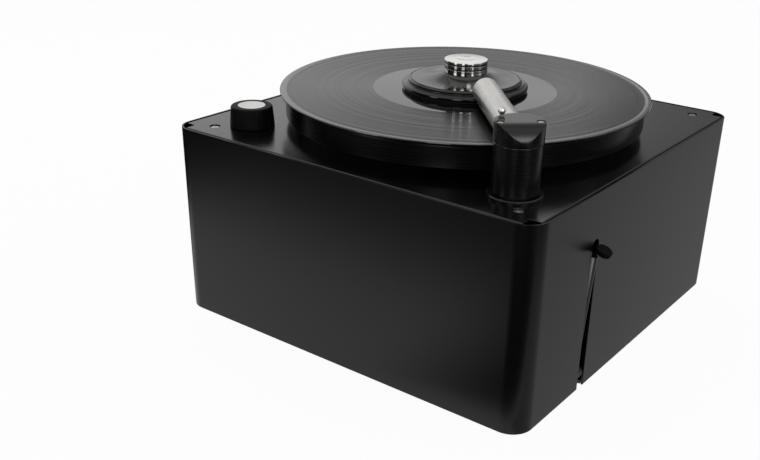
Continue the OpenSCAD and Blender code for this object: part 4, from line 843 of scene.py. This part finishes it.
# %% Platter and mat
PLATTER_LOW, PLATTER_TOP, MAT_TOP, RECORD_TOP = 165.0, 182.0, 183.5, 185.5
platter_paint = finish(
    "platter paint", (0.002, 0.002, 0.0023), 0.24, specular=0.30, grain=1500.0, bump=0.10,
    rings=((0, 0, 0), 1800.0, 1.0), rough_drift=0.2,
)
fit_piece(turned_piece("platter_rim", rounded([
    (28.0, PLATTER_LOW, 0), (28.0, 177.0, 1), (139.0, 177.0, 1), (139.0, PLATTER_LOW, 0.4),
    (146.0, PLATTER_LOW, 0.7), (146.0, PLATTER_TOP, 0.8), (3.8, PLATTER_TOP, 0.2),
    (3.8, PLATTER_LOW, 0),
]), steps=256), "turntable", "platter_black", ["platter"], platter_paint)
mat_rubber = finish("mat rubber", (0.010, 0.010, 0.010), 0.75, specular=0.3, grain=2500.0, bump=0.4)
fit_piece(turned_piece("mat_disc", rounded([
    (3.8, PLATTER_TOP, 0), (144.0, PLATTER_TOP, 0.2), (144.0, MAT_TOP, 0.3), (3.8, MAT_TOP, 0),
]), steps=200), "turntable", "mat_rubber", ["platter_mat"], mat_rubber)


# %% [markdown]
# ## Record
# The record's grooved band is a touch lower than its rim and its label, so the outline shows it.
# The grooves themselves are too fine to model: they spread light across their own direction,
# which is what the anisotropic setting does with a tangent that runs round the middle. Label,
# band and rim differ in gloss, and the rim's colour is made lighter as a painted sheen, so the
# disc carries three finishes.


# %% Vinyl
def ringed(tree, lines, span, roughness, spread, bump, anisotropy):
    """Rings drive the roughness and a fine bump, and highlights stretch across them."""
    surface = tree.nodes["Principled BSDF"]
    relief = add(tree, "ShaderNodeBump", {"Strength": bump, "Distance": 0.0001, "Height": lines})
    tangent = add(tree, "ShaderNodeTangent", direction_type="RADIAL", axis="Z")
    fill(tree, surface, {
        "Roughness": ramp(tree, lines, *span, roughness * (1 - spread), roughness * (1 + spread)),
        "Normal": relief.outputs[0], "Tangent": tangent.outputs[0], "Anisotropic": anisotropy,
    })
    return surface


def vinyl(name, roughness, spread, bump, rings, anisotropy, ior, tone=0.005):
    paint, tree = new_paint(name)
    fine = use_group(tree, ring_group, {"Rings per metre": rings})
    bands = use_group(tree, ring_group, {"Rings per metre": rings * 0.16})
    lines = maths(tree, "ADD", fine.outputs["Rings"], bands.outputs["Rings"])
    span = (0.7, 1.3)
    surface = ringed(tree, lines, span, roughness, spread, bump, anisotropy)
    fill(tree, surface, {
        "Base Color": grey(tree, ramp(tree, lines, *span, 0.6 * tone, 1.4 * tone)),
        "Anisotropic Rotation": 0.25, "IOR": ior,
    })
    return paint


def make_record():
    low, groove, step = MAT_TOP, RECORD_TOP - 0.5, 0.12
    band_in, band_out, upper_side = 75.3, 145.2, 184.8
    bm = bmesh.new()
    turned(bm, rounded([
        (3.63, low, 0), (50.0, low, 0), (51.0, low + 0.3, 0), (146.5, low + 0.3, 0),
        (147.5, low, 0), (150.5, low, 0.95), (150.5, RECORD_TOP, 0.95), (147.6, RECORD_TOP, 0.25),
        (band_out, groove, 0.2), (75.2, groove, 0), (74.6, groove + step, 0),
        (51.0, groove + step, 0.1), (50.0, RECORD_TOP, 0.1), (3.63, RECORD_TOP, 0.1),
    ]), steps=288)
    for face in bm.faces:
        middle = face.calc_center_median()
        radius = math.hypot(middle.x, middle.y) / MM
        if middle.z / MM > upper_side and band_in < radius < band_out:
            face.material_index = 1
        elif middle.z / MM > upper_side and radius > band_out:
            face.material_index = 2
    return to_piece("record_disc", bm, 40)


smooth_vinyl = vinyl("smooth vinyl", 0.05, 0.2, 0.01, 900.0, 0.0, 1.5)
grooved_vinyl = vinyl("grooved vinyl", 0.17, 0.45, 0.05, 1500.0, 0.95, 1.28)
# The rim's tone of 0.03, against 0.005 for the rest of the disc, is a painted sheen on its edge.
rim_vinyl_painted_sheen = vinyl("record rim painted sheen", 0.22, 0.2, 0.02, 900.0, 0.3, 2.0, tone=0.03)
record_paints = (smooth_vinyl, grooved_vinyl, rim_vinyl_painted_sheen)
fit_piece(make_record(), "turntable", "vinyl", ["record"], *record_paints)

# %% [markdown]
# ## Clamp
# The clamp is a glossy black plastic disc that flares up to a steel knob. Its lower ring bulges
# and a step parts it from the upper edge, which ends in a lip with a fine groove inside it. A
# thin dark red seal lies under it. All of it is turned, so it is one outline: an arc for the
# bulge, rounded corners for step, lip and groove, and a large hollow arc for the flare.

# %% Clamp disc
BULGE_R, BULGE_MIDDLE, BULGE = 49.5, 2.6, 2.0
LIP_TOP = 8.3
FLARE_OUT, FLARE_IN, FLARE_R = 44.0, 17.9, 76.34


def clamp_outline():
    base = RECORD_TOP
    top = base + LIP_TOP
    points = [(11.05, base + 0.6)]
    points += arc(BULGE_R, base + BULGE_MIDDLE, BULGE, -math.pi / 2, math.pi, 18)
    points += rounded([
        (47.9, base + 4.6, 0.3), (47.9, base + 6.2, 0.35), (46.3, base + 6.3, 0.1),
        (45.7, base + 6.6, 0.05), (46.0, base + 7.0, 0.1), (46.0, top, 0.35),
    ])
    points += rounded([
        (44.8, top, 0.1), (44.65, base + 7.9, 0.05), (44.1, base + 7.9, 0.05), (FLARE_OUT, top, 0),
    ])
    for k in range(1, 33):
        radius = FLARE_OUT - (FLARE_OUT - FLARE_IN) * k / 32
        rise = FLARE_R - math.sqrt(FLARE_R * FLARE_R - (FLARE_OUT - radius) ** 2)
        points.append((radius, top + rise))
    points += [(17.3, base + 12.9), (8.05, base + 12.9), (8.05, base + 3.0), (11.05, base + 3.0)]
    return points


clamp_gloss = finish(
    "glossy black plastic", (0.002, 0.002, 0.0022), 0.15, specular=0.45, grain=500.0, bump=0.02,
    drift=0.1, rough_drift=0.2, rings=((0, 0, 0), 1200.0, 1.0),
)
clamp_flare = turned_piece("clamp_flare", clamp_outline(), steps=224, sharp=40)
fit_piece(clamp_flare, "clamp", "clamp_black", ["clamp_disc"], clamp_gloss)


# %% [markdown]
# ## Steel knob
# A turned steel knob with two grooves and a dished top screws the clamp down. An image could
# show turning marks, but they are rings, so the ring group draws them at any size. The side is
# finer than the faced top, and the grooves are filled with painted shade, a near black: one
# piece, three finishes.

# %% Steel knob on the clamp
def steel(name, colour, roughness, anisotropy, rings):
    paint, tree = new_paint(name)
    values = {"Rings per metre": rings, "Height share": 1.0}
    lines = use_group(tree, ring_group, values).outputs["Rings"]
    surface = ringed(tree, lines, NOISE_SPAN, roughness, 0.2, 0.06, anisotropy)
    shade = ramp(tree, lines, *NOISE_SPAN, 0.9, 1.05)
    fill(tree, surface, {"Base Color": scaled(tree, colour, shade), "Metallic": 1.0})
    return paint


KNOB_R = 17.65
KNOB_LOW = 198.5
KNOB_TOP = 209.3


def knob_outline():
    groove_half, groove_r, dish, dip = 0.55, KNOB_R - 1.0, 8.6, 0.9
    corners = [(0.0, KNOB_LOW, 0), (KNOB_R, KNOB_LOW, 0.4)]
    for part in (0.41, 0.73):
        middle = KNOB_LOW + part * (KNOB_TOP - KNOB_LOW)
        low, high = middle - groove_half, middle + groove_half
        corners += [(KNOB_R, low, 0.12), (groove_r, low, 0.1)]
        corners += [(groove_r, high, 0.1), (KNOB_R, high, 0.12)]
    corners += [(KNOB_R, KNOB_TOP, 0.5)]
    points = rounded(corners)
    for k in range(9):
        share = 1 - k / 8
        points.append((dish * share, KNOB_TOP - dip * (1 - share * share)))
    return points


turned_steel = steel("turned steel", (0.80, 0.79, 0.76), 0.07, 0.3, 3000.0)
top_steel = steel("faced steel", (0.74, 0.73, 0.71), 0.16, 0.5, 2600.0)
groove_painted_shade = finish(
    "knob groove painted shade", (0.004, 0.004, 0.004), 0.6, specular=0.2, bump=0.1,
)


def make_clamp_knob():
    bm = bmesh.new()
    turned(bm, knob_outline(), steps=192)
    for face in bm.faces:
        middle = face.calc_center_median()
        radius, height = math.hypot(middle.x, middle.y) / MM, middle.z / MM
        if height > KNOB_TOP - 1.0 and radius < KNOB_R - 0.5:
            face.material_index = 1
        # painted shade: faces inside the two grooves get the near-black groove paint
        elif radius < KNOB_R - 0.3 and KNOB_LOW + 1 < height < KNOB_TOP - 1.5:
            face.material_index = 2
    return to_piece("clamp_knob_steel", bm, 35)


knob_paints = (turned_steel, top_steel, groove_painted_shade)
fit_piece(make_clamp_knob(), "clamp_screw", "knob_steel", ["clamp_knob"], *knob_paints)

# %% [markdown]
# ## Arm tower
# The tower is a turned sleeve on a stand pipe; the suction tube lies in a seat at its top. The
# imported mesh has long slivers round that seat, and a bevel modifier stops at such slivers. So
# the sleeve is turned anew from one outline with rounded edges, and the tube hides the seat.

# %% Tower
TUBE_DEGREES = 132.7
TOWER_R = 16.7
TOWER_BORE = 13.5
TOWER_LOW = 161.5
SPLIT = 196.05
tower_coat = finish(
    "tower satin black", (0.0025, 0.0025, 0.0027), 0.26, specular=0.35, grain=1500.0, bump=0.08,
    rings=((TOWER[0] * MM, TOWER[1] * MM, 0), 2600.0, 1.0), rough_drift=0.15,
)
tower_skin = turned_piece("tower_sleeve", rounded([
    (TOWER_BORE, TOWER_LOW, 0), (TOWER_R, TOWER_LOW, 0.3), (TOWER_R, SPLIT, 0.8),
    (TOWER_BORE, SPLIT, 0),
]), at=TOWER, steps=128)
fit_piece(tower_skin, "arm", "tower_black", ["arm_tower"], tower_coat)

# %% [markdown]
# ## Arm cap
# The cap holds the tube down. Its flat top rolls over softly into one slanted face on the side
# away from the tube. A plane cut would leave a hard line, so the top is a set of rings whose
# height follows a power curve. Its two crisp screw holes are what a boolean does well.

# %% Cap
CAP_R = 17.2
CAP_TOP = 210.05
CAP_FOOT = 199.8
slant = math.radians(TUBE_DEGREES - 180.0)


def cap_height(x, y):
    """The top is flat, then rolls over into the slanted face on the side away from the tube."""
    start, drop, power = -2.0, CAP_TOP - CAP_FOOT, 4.5
    out = (x * math.cos(slant) + y * math.sin(slant) - start) / (CAP_R - start)
    return CAP_TOP - drop * max(0.0, out) ** power


def make_cap():
    """Rings from the middle of the top outwards, then down the side and closed below."""
    steps = 144
    bm = bmesh.new()

    def ring(radius, height_at):
        spots = circle_loop(0, 0, radius, steps if radius else 1)
        return [
            bm.verts.new(((TOWER[0] + x) * MM, (TOWER[1] + y) * MM, height_at(x, y) * MM))
            for x, y in spots
        ]

    low = SPLIT + 0.3
    tops = [(0, 0)] + [(16.7 * k / 24, 0) for k in range(1, 25)]
    tops += [(17.0, 0.05), (17.15, 0.2), (CAP_R, 0.45)]
    feet = [(CAP_R, low + 0.6), (CAP_R - 0.2, low + 0.2), (CAP_R - 0.9, low)]
    rings = [ring(radius, lambda x, y: cap_height(x, y) - drop) for radius, drop in tops]
    rings += [ring(radius, lambda x, y: height) for radius, height in feet]
    for k in range(steps):
        bm.faces.new((rings[0][0], rings[1][k], rings[1][(k + 1) % steps]))
    for inner_ring, outer_ring in zip(rings[1:], rings[2:]):
        for k in range(steps):
            after = (k + 1) % steps
            bm.faces.new((inner_ring[k], outer_ring[k], outer_ring[after], inner_ring[after]))
    bm.faces.new(rings[-1])
    return to_piece("slanted_cap", bm, 40)


def drill(piece, places, radius, low, high):
    """Cuts round holes with a boolean, then keeps the result as a plain mesh."""
    bm = bmesh.new()
    for x, y in places:
        turned(bm, [(0.0, low), (radius, low), (radius, high), (0.0, high)], (x, y), 40)
    bmesh.ops.recalc_face_normals(bm, faces=bm.faces)
    mesh = bpy.data.meshes.new("drill")
    bm.to_mesh(mesh)
    bm.free()
    tool = put_in_scene("drill", mesh)
    cut = piece.modifiers.new("holes", "BOOLEAN")
    cut.operation, cut.object, cut.solver = "DIFFERENCE", tool, "EXACT"
    piece.modifiers.move(len(piece.modifiers) - 1, 0)
    graph = bpy.context.evaluated_depsgraph_get()
    whole = bpy.data.meshes.new_from_object(piece.evaluated_get(graph), depsgraph=graph)
    piece.modifiers.remove(cut)
    piece.data = whole
    bpy.data.objects.remove(tool)
    whole.set_sharp_from_angle(angle=math.radians(35))
    return piece


along = Vector((-math.cos(slant), -math.sin(slant)))
across = Vector((-along.y, along.x))
SCREW_BACK, SCREW_OUT = 2.5, 13.5
CAP_SCREWS = [(
    TOWER[0] - SCREW_BACK * along.x + side * SCREW_OUT * across.x,
    TOWER[1] - SCREW_BACK * along.y + side * SCREW_OUT * across.y,
) for side in (-1, 1)]
cap = drill(make_cap(), CAP_SCREWS, 2.75, CAP_TOP - 1.6, CAP_TOP + 2)
fit_piece(cap, "arm", "tower_black", ["arm_cap"], tower_coat)
cap_screws = screw_heads("cap_screw_heads", CAP_SCREWS, 2.6, CAP_TOP - 0.35, 190.0, 1.5)
fit_piece(cap_screws, "arm", "screw_steel", ["cap_screws"], screw_steel)

# %% [markdown]
# ## Suction tube and small arm parts
# The tube and its plug are alloy with fine lines along them, the stud on the cap is polished, and
# two velvet pads lie under the tube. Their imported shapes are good, so they keep them and get
# broken edges; the turn of the line group lays the lines along the tube.

# %% Ring, tube, plug, stud and pads
tube_direction = math.radians(TUBE_DEGREES)
tube_alloy = finish(
    "brushed tube alloy", (0.57, 0.56, 0.535), 0.28, metallic=1.0, bump=0.04,
    brush=((0.03, 1.0, 1.0), 900.0, -tube_direction), rough_drift=0.25,
)
crisp("tower_ring", 0.3, tower_coat)
crisp("suction_tube", 0.2, tube_alloy)
crisp("tube_plug", 0.2, tube_alloy)
dress(["ball_stud"], 0.1, "polished stud steel", (0.72, 0.70, 0.66), 0.16, metallic=1.0, bump=0.03)
dress(["arm_pads"], 0.1, "pad velvet", (0.018, 0.018, 0.018), 0.95, specular=0.2, grain=3000.0,
      bump=0.8)

# %% [markdown]
# ## Control knob
# A fluted plastic knob with a bright aluminium disc let into its top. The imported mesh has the
# flutes. The plastic is nearly matt, and a low index of refraction keeps its edges dark, where a
# higher one would draw a pale outline.

# %% Control knob
knob_plastic = finish(
    "knob plastic", (0.003, 0.003, 0.0033), 0.50, specular=0.20, grain=1800.0, bump=0.15,
)
knob_plastic.node_tree.nodes["Principled BSDF"].inputs["IOR"].default_value = 1.30
crisp("control_knob", 0.25, knob_plastic)
dress(["knob_inlay"], 0.1, "knob inlay", (0.72, 0.72, 0.70), 0.35, metallic=1.0, bump=0.05,
      rings=((KNOB[0] * MM, KNOB[1] * MM, 0), 3500.0, 0.0))

# %% [markdown]
# ## Level tube and drain plug
# A clear tube shows how full the tank is and swings out of its slot to drain it. A black knurled
# plug closes its top. In a dark slot the tube shows only one bright edge. Pure glass would hardly
# show it here, so a highlight is painted into the colour of the side that faces front left, and
# the rest stays dark.

# %% Level tube and plug
LIT_SIDE = (-0.34, -0.94, 0.0)


def clear_plastic(name):
    paint, tree = new_paint(name)
    grains = use_group(tree, grain_group, {"Scale": 700.0})
    cloud = ramp(tree, grains.outputs["Patches"], *NOISE_SPAN, 0.78, 0.86)
    normal = add(tree, "ShaderNodeTexCoord").outputs["Normal"]
    values = {0: normal, 1: LIT_SIDE}
    toward = add(tree, "ShaderNodeVectorMath", values, operation="DOT_PRODUCT").outputs["Value"]
    # painted highlight: faces turned towards LIT_SIDE get a lighter colour, varied by the cloud
    # patches
    painted_bright_side = maths(tree, "MULTIPLY_ADD", ramp(tree, toward, 0.50, 0.80), cloud, 0.01)
    fill(tree, tree.nodes["Principled BSDF"], {
        "Base Color": grey(tree, painted_bright_side),
        "Roughness": ramp(tree, grains.outputs["Grain"], 0.0, 1.0, 0.12, 0.3),
        "Transmission Weight": 0.35, "IOR": 1.45,
    })
    return paint


crisp("level_tube", 0.15, clear_plastic("clear level tube painted highlight"))
dress(["drain_plug"], 0.2, "plug rubber", (0.002, 0.002, 0.002), 0.60, specular=0.08,
      grain=2000.0, bump=0.25)
dress(["drain_outlet", "drain_swivel"], 0.2, "drain fittings", (0.012, 0.012, 0.013), 0.40,
      specular=0.45, bump=0.2)

# %% [markdown]
# ## Back, underside and the parts inside
# The rest is seen from behind, from below or through the openings. Each part still gets the
# finish it has on such machines. A new skin would be wasted there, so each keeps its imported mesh
# and gets a finish and broken edges.

# %% Metal parts
for name in ("base_screws", "housing_screws", "motor_screws", "inlet_screws"):
    crisp(name, 0.2, screw_steel)
dress(["top_brackets", "bottom_brackets", "motor_bracket", "vacuum_clamp", "pipe_nut",
       "switch_nut"], 0.2, "zinc plated steel", (0.55, 0.56, 0.58), 0.38, metallic=1.0,
      grain=500.0, bump=0.15, drift=0.2)
dress(["bearing_housing", "shaft_coupling", "spindle", "stand_pipe", "capacitor"], 0.2,
      "machined alloy", (0.58, 0.59, 0.61), 0.32, metallic=1.0, rings=((0, 0, 0), 2000.0, 1.0))
dress(["spindle_bearings", "output_shaft", "switch_shaft"], 0.15, "bearing steel",
      (0.62, 0.63, 0.65), 0.18, metallic=1.0, rings=((0, 0, 0), 3000.0, 0.0))
dress(["gearbox"], 0.4, "cast gear case", (0.35, 0.36, 0.38), 0.50, metallic=1.0, grain=700.0,
      bump=0.5)
dress(["clamp_insert"], 0.2, "brass insert", (0.72, 0.52, 0.24), 0.28, metallic=1.0,
      rings=((0, 0, 0), 3000.0, 1.0))
dress(["lift_spring"], 0.0, "spring steel", (0.55, 0.55, 0.57), 0.30, metallic=1.0, grain=2000.0)
dress(["vacuum_motor"], 0.4, "vacuum case", (0.30, 0.31, 0.33), 0.42, metallic=1.0, grain=600.0,
      bump=0.3)
dress(["inlet_pins"], 0.2, "nickel pins", (0.66, 0.64, 0.58), 0.22, metallic=1.0)

# %% Painted, plastic and rubber parts
dress(["base_plate"], 0.3, "base plate coat", (0.020, 0.020, 0.021), 0.50, grain=1400.0, bump=0.2)
dress(["rubber_feet"], 0.4, "foot rubber", (0.012, 0.012, 0.012), 0.80, specular=0.3,
      grain=1800.0, bump=0.4)
dress(["drive_motor"], 0.3, "motor can", (0.05, 0.052, 0.055), 0.40, bump=0.2)
dress(["clamp_seal"], 0.1, "red seal", (0.03, 0.004, 0.004), 0.60, specular=0.3, grain=1500.0,
      bump=0.3)
dress(["swivel_bush"], 0.2, "bush plastic", (0.62, 0.58, 0.46), 0.45, specular=0.4, grain=1200.0)
dress(["pipe_seal", "vacuum_cushion"], 0.0, "seal rubber", (0.010, 0.010, 0.010), 0.60,
      specular=0.3, grain=2500.0, bump=0.2)
dress(["rotary_switch"], 0.3, "switch body", (0.035, 0.035, 0.04), 0.45, specular=0.4,
      grain=1200.0, bump=0.3)
dress(["tank", "tank_lid"], 0.5, "tank plastic", (0.020, 0.020, 0.021), 0.45, specular=0.4,
      bump=0.25)
dress(["air_duct"], 0.0, "duct plastic", (0.016, 0.016, 0.017), 0.50, specular=0.4, bump=0.3)
dress(["power_inlet", "rocker_bezel"], 0.3, "inlet plastic", (0.014, 0.014, 0.015), 0.38,
      grain=1600.0, bump=0.25)
dress(["rocker_button"], 0.3, "rocker plastic", (0.016, 0.016, 0.017), 0.30, grain=1600.0)

# %% [markdown]
# ## Size note
# The box of the imported model is printed in millimetres.

# %% Finish
print("cad box", [round(c / MM, 2) for c in (*cad_low, *cad_high)])
